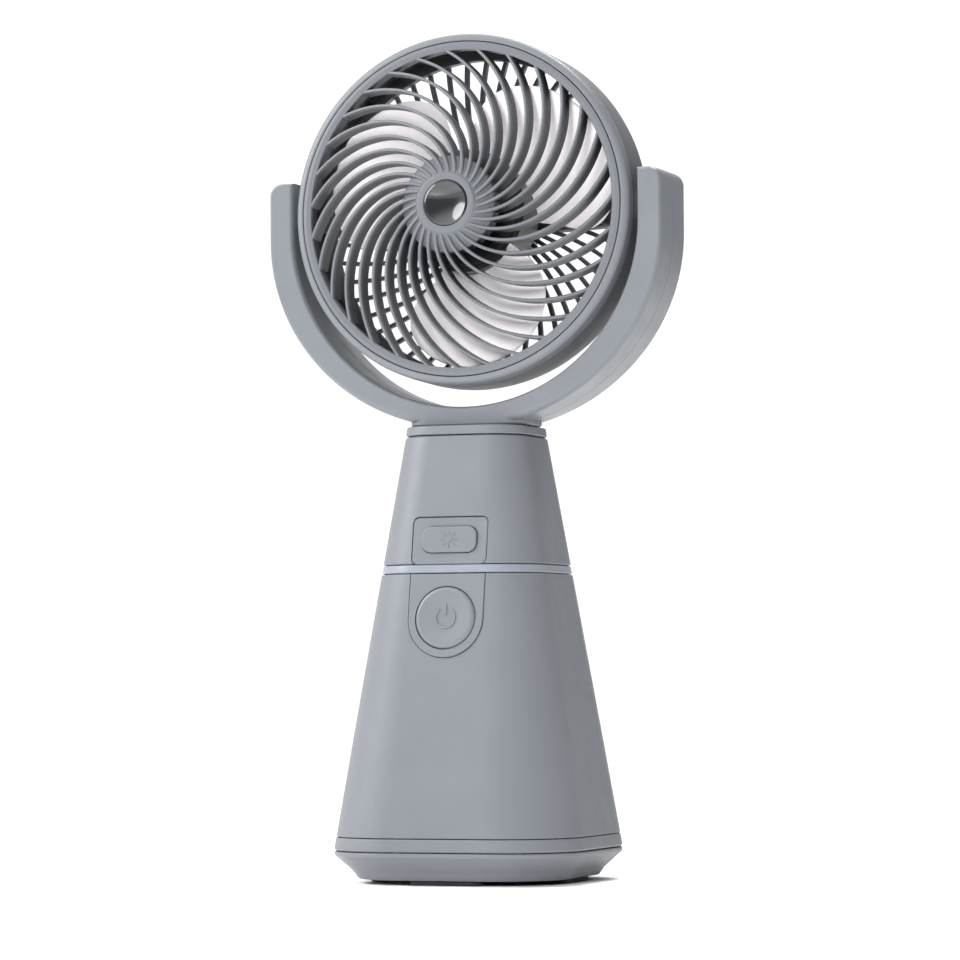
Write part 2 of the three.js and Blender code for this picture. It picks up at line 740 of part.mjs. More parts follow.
function frontGrille() {
  const [rimFront, rimBack] = RIM_Y;
  const rimR = SEAM_R - GAP;
  const rim = latheY(
    [
      [OPENING_R, rimBack],
      [rimR, rimBack],
      [rimR, rimFront + 0.5],
      [rimR - 1.6, rimFront - 0.3],
      [OPENING_R, rimFront],
    ],
    RING_SIDES,
    true,
  );
  const discFront = frontDomeY(HUB_DISC_R);
  const hub = latheY(
    [
      [0, HUB_FLOOR_Y],
      [HUB_INSERT_R + GAP, HUB_FLOOR_Y],
      [HUB_INSERT_R + GAP, HUB_FRONT_Y],
      [GRILLE_HUB_R - 0.8, HUB_FRONT_Y],
      [GRILLE_HUB_R, frontDomeY(GRILLE_HUB_R)],
      [HUB_DISC_R, discFront],
      [HUB_DISC_R, discFront + RIB_DEPTH],
      [0, discFront + RIB_DEPTH],
    ],
    RING_SIDES,
  );
  const ribs = ribRing(RIB_COUNT, {
    twist: RIB_TWIST,
    innerR: HUB_DISC_R - 2,
    outerR: OPENING_R + 0.4,
    domeY: frontDomeY,
    width: 1.4,
    depth: RIB_DEPTH,
    steps: 3,
  });
  return join(rim, hub, ...ribs);
}

// A dished cap: its face falls from the rim to the middle.
function hubInsert() {
  const back = HUB_FLOOR_Y - GAP;
  return latheY(
    [
      [0, back],
      [HUB_INSERT_R, back],
      [HUB_INSERT_R, back - 2.3],
      [7.6, back - 1.9],
      [4, back - 1],
      [0, back - 0.7],
    ],
    ROUND_SIDES,
  );
}

function rearGrille() {
  const rimProfile = ringProfile(66.6, HEAD_R - 0.6, BARREL_Y[1] + GAP, REAR_RIM_Y + 1.4);
  const rim = latheY(rimProfile, RING_SIDES, true);
  const [cupBack, cupFloor, cupMouth] = MOTOR_CUP_Y;
  const cup = latheY(
    [
      [0, cupBack],
      [MOTOR_CUP_R, cupBack],
      [MOTOR_CUP_R, cupMouth],
      [MOTOR_R + GAP, cupMouth],
      [MOTOR_R + GAP, cupFloor],
      [0, cupFloor],
    ],
    ROUND_SIDES,
  );
  const ribs = ribRing(REAR_RIB_COUNT, {
    twist: REAR_RIB_TWIST,
    innerR: MOTOR_R + 2,
    outerR: 70,
    domeY: (radius) => rearDomeY(radius) - 1.3,
    width: 1.4,
    depth: 2.6,
    steps: 3,
  });
  const arms = ribRing(2, {
    twist: 0,
    innerR: MOTOR_R + 2,
    outerR: 70,
    domeY: (radius) => rearDomeY(radius) - 1.8,
    width: 2 * REAR_ARM_HALF,
    depth: 3.2,
    steps: 3,
  });
  return cut(join(rim, cup, ...ribs, ...arms), ...rodsAt(headScrewPlaces, 1.5, 0, 40));
}

// The tilt pins enter from inside the barrel: along +X here, mirrored for the other side.
function tiltPin() {
  const [inside, seat, end] = PIN_X;
  return latheX(
    [[0, inside], [PIN_HEAD_R, inside], [PIN_HEAD_R, seat], [PIN_R, seat], [PIN_R, end], [0, end]],
    ROUND_SIDES,
  );
}

function motorCase() {
  const [front, back] = MOTOR_Y;
  const mouth = BEARING_R + GAP;
  return latheY(
    [
      [mouth, front],
      [MOTOR_R, front],
      [MOTOR_R, back],
      [mouth, back],
      [mouth, back - 1.5],
      [MOTOR_R - 1.2, back - 1.5],
      [MOTOR_R - 1.2, front + 1.5],
      [mouth, front + 1.5],
    ],
    ROUND_SIDES,
    true,
  );
}

// Half the angle that a blade covers, and the angle of its middle, at a radius: a broad leaf with
// a rounded tip that leans back a little towards the tip.
function bladeHalfAngle(radius) {
  const tip = Math.max(0, (radius - 36) / (IMPELLER_R + 0.4 - 36));
  return THREE.MathUtils.degToRad(46) * Math.sqrt(1 - tip ** 2.4);
}

const bladeMiddle = (radius) => THREE.MathUtils.degToRad(38 - 0.3 * Math.max(0, radius - 36));

// A blade's section at a radius: it comes forward with its angle, with a little camber.
function bladeLevel(radius) {
  const half = bladeHalfAngle(radius);
  const steps = 5;
  const ring = [];
  for (const side of [1, -1]) {
    for (let i = 0; i <= steps; i++) {
      const share = side * ((2 * i) / steps - 1);
      const angle = bladeMiddle(radius) + half * share;
      const camber = 1.5 * (1 - share * share);
      const taper = Math.abs(share) > 0.99 ? 0.3 : 1;
      const axial = bladeY - BLADE_ADVANCE * half * share - camber + (side * BLADE_T * taper) / 2;
      ring.push(new THREE.Vector3(radius * Math.cos(angle), axial, radius * Math.sin(angle)));
    }
  }
  return ring;
}

const bladeY = (IMPELLER_HUB_Y[0] + IMPELLER_HUB_Y[1]) / 2;

function impeller() {
  const [front, back] = IMPELLER_HUB_Y;
  const wall = 1.8;
  const boss = 5;
  const hub = latheY(
    [
      [SHAFT_R + GAP, front],
      [IMPELLER_HUB_R, front],
      [IMPELLER_HUB_R, back],
      [IMPELLER_HUB_R - wall, back],
      [IMPELLER_HUB_R - wall, front + wall],
      [boss, front + wall],
      [boss, back - 2.5],
      [SHAFT_R + GAP, back - 2.5],
    ],
    2 * ROUND_SIDES,
    true,
  );
  const blades = [];
  for (let i = 0; i < BLADE_COUNT; i++) {
    const levels = [IMPELLER_HUB_R - 1.2, 36, 46, 54, 60, 63.4, IMPELLER_R].map(bladeLevel);
    blades.push(loft(levels).rotateY((i * 2 * Math.PI) / BLADE_COUNT));
  }
  return join(hub, ...blades);
}

// ---------------------------------------------------------------- assembly

const fan = new THREE.Group();

function addTower() {
  const tower = new THREE.Group();
  fan.add(tower);
  place(tower, "base_pan", basePan(), shellPlastic);
  place(tower, "base_skirt", baseSkirt(), shellPlastic);
  const footOffset = BASE_BOTTOM_HALF - 5;
  place(tower, "foot_front", foot(true), rubber, 0, -footOffset, 0);
  place(tower, "foot_rear", foot(true), rubber, 0, footOffset, 0);
  place(tower, "foot_left", foot(false), rubber, -footOffset, 0, 0);
  place(tower, "foot_right", foot(false), rubber, footOffset, 0, 0);
  place(tower, "lower_housing", lowerHousing(), shellPlastic);
  place(tower, "light_ring", lightRing(), lightPlastic);
  place(tower, "upper_housing", upperHousing(), shellPlastic);
  place(tower, "neck_collar", neckCollar(), shellPlastic);
  place(tower, "swivel_bush", swivelBush(), whitePlastic);
  postPlaces.forEach(([x, y], i) => {
    const post = new THREE.Group();
    post.position.set(x, y, BASE_BOTTOM_Z + GAP);
    post.rotation.x = Math.PI;
    tower.add(post);
    place(post, `base_screw_${i + 1}`, screw(2.7, 0.8, 1.25, 17), steel);
  });
}

function addElectrics() {
  const electrics = new THREE.Group();
  fan.add(electrics);
  place(electrics, "battery_tray", batteryTray(), darkPlastic);
  place(electrics, "battery_cell_1", batteryCell(), cellWrap, 0, -CELL_Y, CELL_Z);
  place(electrics, "battery_cell_2", batteryCell(), cellWrap, 0, CELL_Y, CELL_Z);
  place(electrics, "battery_lead", batteryLead(), cableRed);
  place(electrics, "main_board", mainBoard(), boardGreen, 0, 0, MAIN_BOARD_Z);
  const socketZ = MAIN_BOARD_Z + BOARD_T + 1.9;
  const socketY = towerHalf(socketZ) - 0.6 - 8.5;
  place(electrics, "charge_socket", chargeSocket(), steel, 0, socketY, socketZ);
  place(electrics, "led_board", ledBoard(), boardGreen);
}

function addControls() {
  const plateBack = POCKET_DEPTH - GAP;
  const buttonHole = slab(circleShape(POWER_R + GAP), -5, 5);
  const lowerPlate = cut(slab(lowerPlateShape(0), -PLATE_PROUD, plateBack), buttonHole);
  const keyOffset = (LIGHT_KEY_Z - upperPlateZ) * SLOPE_SCALE;
  const keyHole = slab(keyShape(GAP), -5, 5, 2).translate(0, 0, keyOffset);
  const upperPlate = cut(slab(upperPlateShape(0), -PLATE_PROUD, plateBack, 2), keyHole);
  place(powerFrame, "power_plate", lowerPlate, shellPlastic);
  place(powerFrame, "power_button", powerButton(), buttonPlastic);
  place(powerFrame, "power_switch", tactSwitch(), steel);
  place(upperPlateFrame, "light_plate", upperPlate, shellPlastic);
  place(lightFrame, "light_button", lightButton(), buttonPlastic);
  place(lightFrame, "light_switch", tactSwitch(), steel);
  const boardMiddle = (POWER_Z + LIGHT_KEY_Z) / 2;
  const boardFrame = faceFrame(boardMiddle);
  const boardFace = SWITCH_BACK + GAP;
  const board = slab(roundedRect(10, 23, 1), boardFace, boardFace + BOARD_T, 1);
  place(boardFrame, "button_board", board, boardGreen);
  fan.add(powerFrame, lightFrame, upperPlateFrame, boardFrame);
}

function addYoke() {
  const yoke = new THREE.Group();
  yoke.position.z = PIVOT_Z;
  fan.add(yoke);
  const whole = wholeYoke();
  place(yoke, "yoke_front_shell", common(whole, halfSpace(-1)), shellPlastic);
  place(yoke, "yoke_rear_shell", common(whole, halfSpace(1)), shellPlastic);
  bossPlaces.forEach(([x, z], i) => {
    const hole = new THREE.Group();
    hole.position.set(x, BAND_HALF_DEPTH - 0.4, z);
    hole.rotation.x = -Math.PI / 2;
    yoke.add(hole);
    place(hole, `yoke_screw_${i + 1}`, screw(2.5, 1.4, 1.25, 22), steel);
  });
  const washer = latheX(ringProfile(PIN_R + GAP, 7, HEAD_R + 0.4, BAND_INNER_R - GAP), ROUND_SIDES, true);
  place(yoke, "tilt_washer_left", washer, whitePlastic).rotation.y = Math.PI;
  place(yoke, "tilt_washer_right", washer, whitePlastic);
  place(fan, "swivel_spindle", swivelSpindle(), steel);
  const springWasher = ringProfile(SPINDLE_R + GAP, 14, 180.2, 181.1);
  place(fan, "swivel_washer", latheZ(springWasher, ROUND_SIDES, true), steel);
  const clip = ringProfile(SPINDLE_R - 0.9, 13, CLIP_GROOVE_Z[0] + GAP, CLIP_GROOVE_Z[1] - GAP);
  place(fan, "swivel_clip", latheZ(clip, ROUND_SIDES, true), steel);
}

function addHead() {
  const head = new THREE.Group();
  head.position.z = PIVOT_Z;
  head.rotation.x = -THREE.MathUtils.degToRad(HEAD_TILT);
  fan.add(head);
  place(head, "head_barrel", headBarrel(), shellPlastic);
  place(head, "front_ring", frontRing(), shellPlastic);
  place(head, "front_grille", frontGrille(), grillePlastic);
  place(head, "hub_insert", hubInsert(), darkPlastic);
  place(head, "rear_grille", rearGrille(), grillePlastic);
  place(head, "tilt_pin_left", tiltPin(), steel).rotation.y = Math.PI;
  place(head, "tilt_pin_right", tiltPin(), steel);
  headScrewPlaces.forEach(([x, z], i) => {
    const hole = new THREE.Group();
    hole.position.set(x, REAR_RIM_Y + 1.4 + GAP + 1.3, z);
    hole.rotation.x = -Math.PI / 2;
    head.add(hole);
    place(hole, `head_screw_${i + 1}`, screw(2.2, 1.3, 1.05, 10), steel);
  });
  place(head, "motor_case", motorCase(), steel);
  const [front, back] = MOTOR_Y;
  const stator = latheY(ringProfile(9.2, MOTOR_R - 1.5, front + 3, back - 3), ROUND_SIDES, true);
  place(head, "motor_stator", stator, steel);
  const bearing = latheY(ringProfile(SHAFT_R + GAP, BEARING_R, 0, 3), ROUND_SIDES, true);
  place(head, "motor_bearing_front", bearing, steel, 0, front - 0.5, 0);
  place(head, "motor_bearing_rear", bearing, steel, 0, back - 2.8, 0);
  place(head, "impeller", impeller(), bladePlastic);
  const hubFront = IMPELLER_HUB_Y[0] - GAP;
  const cap = ringProfile(NUT_R + 0.6, IMPELLER_HUB_R - 2.2, hubFront - CAP_THICKNESS, hubFront);
  place(head, "hub_cap", latheY(cap, 2 * ROUND_SIDES, true), darkPlastic);
  const nut = ringProfile(SHAFT_R + GAP, NUT_R, hubFront - 2.7, hubFront);
  place(head, "impeller_nut", latheY(nut, 6, true), steel);
  place(head, "motor_shaft", latheY(discProfile(SHAFT_R, -16.6, back - 0.2), ROUND_SIDES), steel);
  const rotor = ringProfile(SHAFT_R + GAP, 8.6, front + 3.2, back - 3.6);
  place(head, "motor_rotor", latheY(rotor, ROUND_SIDES, true), steel);
}

addTower();
addElectrics();
addControls();
addYoke();
addHead();

export default fan;
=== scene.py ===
"""Looks of a rechargeable desk fan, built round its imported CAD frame. Metres, +Z up, front facing -Y."""

import json
import math

import bmesh
import bpy
from mathutils import Matrix, Vector


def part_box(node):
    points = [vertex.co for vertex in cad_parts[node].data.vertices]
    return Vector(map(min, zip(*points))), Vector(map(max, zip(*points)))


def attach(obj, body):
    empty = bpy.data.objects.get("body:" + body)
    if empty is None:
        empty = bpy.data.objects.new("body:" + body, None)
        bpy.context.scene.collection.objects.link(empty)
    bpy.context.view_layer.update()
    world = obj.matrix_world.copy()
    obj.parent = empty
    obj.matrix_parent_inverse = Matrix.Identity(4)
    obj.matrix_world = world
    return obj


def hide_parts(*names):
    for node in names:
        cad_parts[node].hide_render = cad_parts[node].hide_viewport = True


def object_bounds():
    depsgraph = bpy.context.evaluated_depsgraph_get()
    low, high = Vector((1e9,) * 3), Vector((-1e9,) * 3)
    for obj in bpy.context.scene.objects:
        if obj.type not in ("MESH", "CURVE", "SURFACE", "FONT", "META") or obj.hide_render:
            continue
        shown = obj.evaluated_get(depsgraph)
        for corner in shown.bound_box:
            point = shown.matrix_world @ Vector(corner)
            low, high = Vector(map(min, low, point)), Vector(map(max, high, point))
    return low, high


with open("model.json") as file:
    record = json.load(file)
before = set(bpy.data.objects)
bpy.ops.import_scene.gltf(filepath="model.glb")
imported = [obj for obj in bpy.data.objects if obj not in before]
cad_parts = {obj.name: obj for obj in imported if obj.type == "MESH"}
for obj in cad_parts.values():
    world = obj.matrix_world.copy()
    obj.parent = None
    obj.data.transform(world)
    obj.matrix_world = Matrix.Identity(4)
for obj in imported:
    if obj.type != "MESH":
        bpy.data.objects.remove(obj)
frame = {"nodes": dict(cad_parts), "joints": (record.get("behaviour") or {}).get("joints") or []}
cad_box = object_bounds()
scene = bpy.context.scene

MM = 0.001
FULL_TURN = 2 * math.pi

# -------------------- sizes taken from the frame

skirt_low, skirt_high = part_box("base_skirt")
pan_low, pan_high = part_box("base_pan")
upper_low, upper_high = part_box("upper_housing")
collar_low, collar_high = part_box("neck_collar")
lower_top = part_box("lower_housing")[1].z
barrel_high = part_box("head_barrel")[1]
yoke_low, yoke_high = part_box("yoke_front_shell")

GAP = 0.3 * MM  # between neighbouring pieces
BEYOND = 400 * MM  # farther out than any part of the fan
SEAM_ROUNDING = 0.5 * MM  # rounded edge where two mouldings meet
WALL = 2.4 * MM
TOWER_SLOPE = (skirt_high.x - upper_high.x) / (upper_low.z - skirt_low.z)
TOWER_TILT = math.atan(TOWER_SLOPE)
CORNER_RATIO = 0.6  # corner radius over half side
CORNER_POINTS = 14
HOUSING_LOW_Z = skirt_high.z + GAP
BUSH_HOLE_R = 12.3 * MM

joints = {joint["name"]: joint for joint in frame["joints"]}
PIVOT = Vector(joints["tilt"]["pos_m"])
fan_axis = Vector(joints["impeller_spin"]["axis"])
HEAD_TILT = math.atan2(-fan_axis.z, fan_axis.y)
HEAD = Matrix.Translation(PIVOT) @ Matrix.Rotation(-HEAD_TILT, 4, "X")

BAND_OUTER_R = (yoke_high.x, 81.2 * MM)  # half width and half height of the outer half ellipse
BAND_OUTER_DROP = 9.8 * MM
BAND_INNER_R = 76.5 * MM
BAND_INNER_DROP = 5.5 * MM
BAND_DEPTH = -yoke_low.y
ARM_TOP = yoke_high.z - PIVOT.z
ARM_CORNER_R = 5.5 * MM
BAND_WALL = 2 * MM
PIN_HOLE_R = 3.8 * MM
NECK_LOW_Z = collar_high.z + 0.4 * MM
NECK_TOP_Z = NECK_LOW_Z + 11 * MM
NECK_HALF_WIDTH = 26 * MM
NECK_CORNER_R = 10 * MM

HEAD_R = barrel_high.x
BARREL_FRONT = -12 * MM
BARREL_BACK = 6 * MM
SEAM_R = 70.5 * MM
OPENING_R = 66.8 * MM
RIM_FRONT = -19.6 * MM
RIM_BACK = -16 * MM
DOME_MIDDLE = -36.4 * MM
DOME_R = 67 * MM
RIB_COUNT = 31
RIB_TWIST = 21.8  # radians of turn per metre of radius
RIB_DEPTH = 9 * MM
HUB_DISC_R = 20.5 * MM
HUB_RIM_R = 12.3 * MM
HUB_FRONT = -36.6 * MM
HUB_FLOOR = -33.4 * MM
INSERT_R = 9.4 * MM
REAR_RIM = 9 * MM
REAR_DOME = 17 * MM
REAR_DOME_R = 72 * MM
REAR_RIB_COUNT = 48
REAR_RIB_TWIST = -5.0
MOTOR_R = 16.5 * MM
HEAD_SCREW_R = 69.6 * MM
CUP_R = 19.9 * MM
CUP_BACK = 31.6 * MM
CUP_MOUTH = 17 * MM
BLADE_COUNT = 3
BLADE_TIP_R = 65 * MM
BLADE_WIDEST_R = 36 * MM
BLADE_ROOT_R = 25 * MM
IMPELLER_HUB_R = 26 * MM
IMPELLER_FRONT = -13 * MM
IMPELLER_BACK = 7.5 * MM
BLADE_ADVANCE = 13.1 * MM  # forward for each radian round the blade


# -------------------- mesh building
# A solid is (vertices, faces); its pieces are joined by adding them up.


def add(*solids):
    vertices, faces = [], []
    for part_vertices, part_faces in solids:
        start = len(vertices)
        vertices += part_vertices
        faces += [[start + i for i in face] for face in part_faces]
    return vertices, faces


def moved(solid, matrix):
    vertices, faces = solid
    return [matrix @ Vector(v) for v in vertices], faces


def loft(rings, closed=False):
    """Skin over rings with equal point counts, capped at both ends or closed on itself."""
    size = len(rings[0])
    faces = []
    for row in range(len(rings) if closed else len(rings) - 1):
        here = row * size
        following = (row + 1) % len(rings) * size
        for i in range(size):
            j = (i + 1) % size
            faces.append([here + i, here + j, following + j, following + i])
    if not closed:
        last = (len(rings) - 1) * size
        faces.append(list(range(size - 1, -1, -1)))
        faces.append([last + i for i in range(size)])
    return [Vector(p) for ring in rings for p in ring], faces


def rounded(corners, steps=4):
    """A closed 2-D outline from (a, b) or (a, b, radius) corners, with each radius as an arc."""
    outline = []
    for i, corner in enumerate(corners):
        here = Vector(corner[:2])
        radius = corner[2] if len(corner) > 2 else 0
        if not radius:
            outline.append(here)
            continue
        back = (Vector(corners[i - 1][:2]) - here).normalized()
        ahead = (Vector(corners[(i + 1) % len(corners)][:2]) - here).normalized()
        half = back.angle(ahead) / 2
        centre = here + (back + ahead).normalized() * radius / math.sin(half)
        first = (here + back * radius / math.tan(half) - centre).normalized()
        last = (here + ahead * radius / math.tan(half) - centre).normalized()
        for step in range(steps + 1):
            outline.append(centre + first.slerp(last, step / steps) * radius)
    return outline


def spaced(first, last, steps):
    return [first + (last - first) * i / steps for i in range(steps + 1)]


def lathe(outline, steps=96, axis="Y"):
    """A solid of revolution from a closed outline of (radius, height) points."""
    rings = []
    for i in range(steps):
        angle = i * FULL_TURN / steps
        c, s = math.cos(angle), math.sin(angle)
        if axis == "Y":
            rings.append([(r * c, h, r * s) for r, h in outline])
        elif axis == "Z":
            rings.append([(r * c, r * s, h) for r, h in outline])
        else:
            rings.append([(h, r * c, r * s) for r, h in outline])
    return loft(rings, closed=True)


def rod(radius, reach, steps, axis="Y"):
    return lathe([(0, -reach), (radius, -reach), (radius, reach), (0, reach)], steps, axis)


def oblong(half_a, half_b, radius, steps):
    """The points of a rectangle with rounded corners, counter-clockwise."""
    points = []
    for corner in range(4):
        a = (half_a - radius) * (1 if corner in (0, 3) else -1)
        b = (half_b - radius) * (1 if corner < 2 else -1)
        for angle in spaced(corner * math.pi / 2, (corner + 1) * math.pi / 2, steps):
            points.append((a + radius * math.cos(angle), b + radius * math.sin(angle)))
    return points


def square_ring(z, half_x, half_y, radius):
    """One level of a rounded rectangle, counter-clockwise from above."""
    return [(x, y, z) for x, y in oblong(half_x, half_y, radius, CORNER_POINTS)]


def tower_half(z):
    return skirt_high.x - TOWER_SLOPE * (z - skirt_low.z)


def tower_ring(z, inset=0.0):
    half = tower_half(z)
    return square_ring(z, half - inset, half - inset, CORNER_RATIO * half - inset)


def tower_shell(outline):
    """A band of the tower's wall from a closed outline of (inset, height) points."""
    return loft([tower_ring(z, inset) for inset, z in outline], closed=True)


def stack(outline_at, levels):
    """A plate from an outline function of inset, with levels of (inset, depth along +Y)."""
    return loft([[(x, y, z) for x, z in outline_at(inset)] for inset, y in levels])


def front_edge(front, radius, depth, steps=4):
    """Levels for stack() that round a plate's front edge: its radius in the plate, its depth along +Y."""
    levels = []
    for angle in spaced(0, math.pi / 2, steps):
        levels.append((radius * (1 - math.sin(angle)), front + depth * (1 - math.cos(angle))))
    return levels


def circle(radius, steps=72):
    def outline(inset):
        size = radius - inset
        return [(size * math.cos(a), size * math.sin(a)) for a in spaced(0, FULL_TURN, steps)[:-1]]

    return outline


def rounded_rectangle(half_x, half_z, radius):
    def outline(inset):
        return oblong(half_x - inset, half_z - inset, radius - inset, 8)

    return outline


def box(low, high):
    xs, ys, zs = zip(low, high)
    ring = [(xs[0], ys[0]), (xs[1], ys[0]), (xs[1], ys[1]), (xs[0], ys[1])]
    return loft([[(x, y, z) for x, y in ring] for z in zs])


def to_mesh(name, solid):
    mesh = bpy.data.meshes.new(name)
    work = bmesh.new()
    vertices = [work.verts.new(v) for v in solid[0]]
    for face in solid[1]:
        work.faces.new([vertices[i] for i in face])
    bmesh.ops.remove_doubles(work, verts=work.verts, dist=1e-7)
    bmesh.ops.dissolve_degenerate(work, edges=work.edges, dist=1e-7)
    bmesh.ops.recalc_face_normals(work, faces=work.faces)
    work.to_mesh(mesh)
    work.free()
    return mesh


def new_object(name, solid):
    thing = bpy.data.objects.new(name, to_mesh(name, solid))
    scene.collection.objects.link(thing)
    return thing


def taken_mesh(thing):
    """Removes an object and gives its mesh back as a solid."""
    vertices = [vertex.co.copy() for vertex in thing.data.vertices]
    faces = [list(polygon.vertices) for polygon in thing.data.polygons]
    bpy.data.objects.remove(thing)
    return vertices, faces


def boolean(thing, operation, *solids):
    """Joins or cuts a piece's mesh with closed solids."""
    for solid in solids:
        tool = new_object("tool", solid)
        modifier = thing.modifiers.new("boolean", "BOOLEAN")
        modifier.operation = operation
        modifier.solver = "EXACT"
        modifier.object = tool
        bpy.context.view_layer.update()
        evaluated = thing.evaluated_get(bpy.context.evaluated_depsgraph_get())
        result = bpy.data.meshes.new_from_object(evaluated)
        thing.modifiers.clear()
        old = thing.data
        thing.data = result
        bpy.data.meshes.remove(old)
        bpy.data.objects.remove(tool)
    return thing


def finish_piece(thing, body, slot, material, *nodes, angle=32):
    """Smooths a piece, gives it its material and body, and lets it stand for its CAD nodes."""
    for polygon in thing.data.polygons:
        polygon.use_smooth = True
    thing.data.set_sharp_from_angle(angle=math.radians(angle))
    modifier = thing.modifiers.new("normals", "WEIGHTED_NORMAL")
    modifier.keep_sharp = True
    modifier.weight = 80
    if not thing.data.materials:
        thing.data.materials.append(material)
    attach(thing, body)
    if nodes:
        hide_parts(*nodes)
    return thing


def piece(node, solid, body, slot, material, angle=32):
    """A finished piece that needs no cuts and stands for one CAD node."""
    return finish_piece(new_object(f"{node}_looks", solid), body, slot, material, node, angle=angle)


def middle_of(node):
    low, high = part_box(node)
    return (low + high) / 2


# -------------------- materials


def new_material(name, roughness, metallic=0.0):
    material = bpy.data.materials.new(name)
    material.use_nodes = True
    tree = material.node_tree
    shader = tree.nodes["Principled BSDF"]
    shader.inputs["Roughness"].default_value = roughness
    shader.inputs["Metallic"].default_value = metallic
    return material, tree, shader


def noise(tree, scale, detail=3.0, stretch=(1, 1, 1)):
    """Noise in the object's own coordinates, with its scale in cycles per metre."""
    place = tree.nodes.new("ShaderNodeTexCoord")
    mapping = tree.nodes.new("ShaderNodeMapping")
    mapping.inputs["Scale"].default_value = stretch
    texture = tree.nodes.new("ShaderNodeTexNoise")
    texture.inputs["Scale"].default_value = scale
    texture.inputs["Detail"].default_value = detail
    tree.links.new(place.outputs["Object"], mapping.inputs["Vector"])
    tree.links.new(mapping.outputs["Vector"], texture.inputs["Vector"])
    return texture.outputs["Fac"]


def spread(tree, value, low, high):
    """Maps a noise value onto a range of numbers."""
    mapper = tree.nodes.new("ShaderNodeMapRange")
    mapper.inputs["From Min"].default_value = 0.3
    mapper.inputs["From Max"].default_value = 0.7
    mapper.inputs["To Min"].default_value = low
    mapper.inputs["To Max"].default_value = high
    tree.links.new(value, mapper.inputs["Value"])
    return mapper.outputs["Result"]


def tint(tree, shader, value, first, second):
    """Varies the base colour between two colours by a noise value."""
    ramp = tree.nodes.new("ShaderNodeValToRGB")
    ramp.color_ramp.elements[0].position = 0.3
    ramp.color_ramp.elements[1].position = 0.7
    ramp.color_ramp.elements[0].color = (*first, 1)
    ramp.color_ramp.elements[1].color = (*second, 1)
    tree.links.new(value, ramp.inputs["Fac"])
    tree.links.new(ramp.outputs["Color"], shader.inputs["Base Color"])


def bump(tree, shader, value, height):
    node = tree.nodes.new("ShaderNodeBump")
    node.inputs["Strength"].default_value = 1.0
    node.inputs["Distance"].default_value = height
    tree.links.new(value, node.inputs["Height"])
    tree.links.new(node.outputs["Normal"], shader.inputs["Normal"])


def shade(color, factor):
    return tuple(channel * factor for channel in color)


def moulded_plastic(name, color, roughness, grain=2600, height=0.00001, variation=0.03):
    """Moulded plastic: fine spark-eroded grain, cloudy colour and patches of wear in its gloss."""
    material, tree, shader = new_material(name, roughness)
    cloud = noise(tree, 38, 4)
    tint(tree, shader, cloud, shade(color, 1 - variation), shade(color, 1 + variation))
    gloss = spread(tree, noise(tree, 90, 5), roughness - 0.05, roughness + 0.05)
    tree.links.new(gloss, shader.inputs["Roughness"])
    bump(tree, shader, noise(tree, grain, 2), height)
    return material


def rubber_material():
    material, tree, shader = new_material("rubber", 0.8)
    tint(tree, shader, noise(tree, 220, 4), (0.016, 0.016, 0.018), (0.03, 0.03, 0.033))
    bump(tree, shader, noise(tree, 1800, 3), 0.00003)
    return material


def steel_material(name="steel", color=(0.55, 0.56, 0.58), stretch=(1, 9, 1)):
    material, tree, shader = new_material(name, 0.34, metallic=1.0)
    brushed = noise(tree, 700, 3, stretch)
    tint(tree, shader, brushed, shade(color, 0.86), shade(color, 1.08))
    tree.links.new(spread(tree, brushed, 0.26, 0.44), shader.inputs["Roughness"])
    bump(tree, shader, brushed, 0.000006)
    return material


def board_material():
    """Green solder mask with tracks showing through it."""
    material, tree, shader = new_material("solder_mask", 0.35)
    place = tree.nodes.new("ShaderNodeTexCoord")
    tracks = tree.nodes.new("ShaderNodeTexBrick")
    tracks.inputs["Scale"].default_value = 260
    tracks.inputs["Mortar Size"].default_value = 0.06
    tracks.inputs["Color1"].default_value = (0.012, 0.1, 0.035, 1)
    tracks.inputs["Color2"].default_value = (0.016, 0.12, 0.045, 1)
    tracks.inputs["Mortar"].default_value = (0.04, 0.2, 0.08, 1)
    tree.links.new(place.outputs["Object"], tracks.inputs["Vector"])
    tree.links.new(tracks.outputs["Color"], shader.inputs["Base Color"])
    bump(tree, shader, tracks.outputs["Fac"], 0.00002)
    return material


def cell_material():
    """Heat-shrunk wrap: glossy blue, with faint shrink wrinkles round the cell."""
    material, tree, shader = new_material("cell_wrap", 0.28)
    tint(tree, shader, noise(tree, 60, 3), (0.08, 0.15, 0.4), (0.11, 0.2, 0.48))
    bump(tree, shader, noise(tree, 500, 2, (0.15, 1, 1)), 0.00003)
    return material


def grille_painted_shade_material(front, back):
    """Grey on the grille's front edges, falling to near black down the sides of its ribs and into the hub's
    recess: painted shade of the deep gaps.
    """
    material, tree, shader = new_material("grille_grey_plastic_painted_shade", 0.43)
    depth = tree.nodes.new("ShaderNodeAttribute")
    depth.attribute_name = "depth"
    wobble = tree.nodes.new("ShaderNodeMath")
    wobble.operation = "MULTIPLY_ADD"
    wobble.inputs[1].default_value = 0.06
    tree.links.new(noise(tree, 300, 3), wobble.inputs[0])
    tree.links.new(depth.outputs["Fac"], wobble.inputs[2])
    ramp = tree.nodes.new("ShaderNodeValToRGB")
    ramp.color_ramp.elements[0].position = 0.15
    ramp.color_ramp.elements[0].color = (*front, 1)
    ramp.color_ramp.elements[1].position = 0.45
    ramp.color_ramp.elements[1].color = (*back, 1)
    tree.links.new(wobble.outputs["Value"], ramp.inputs["Fac"])
    tree.links.new(ramp.outputs["Color"], shader.inputs["Base Color"])
    bump(tree, shader, noise(tree, 2600, 2), 0.00001)
    return material


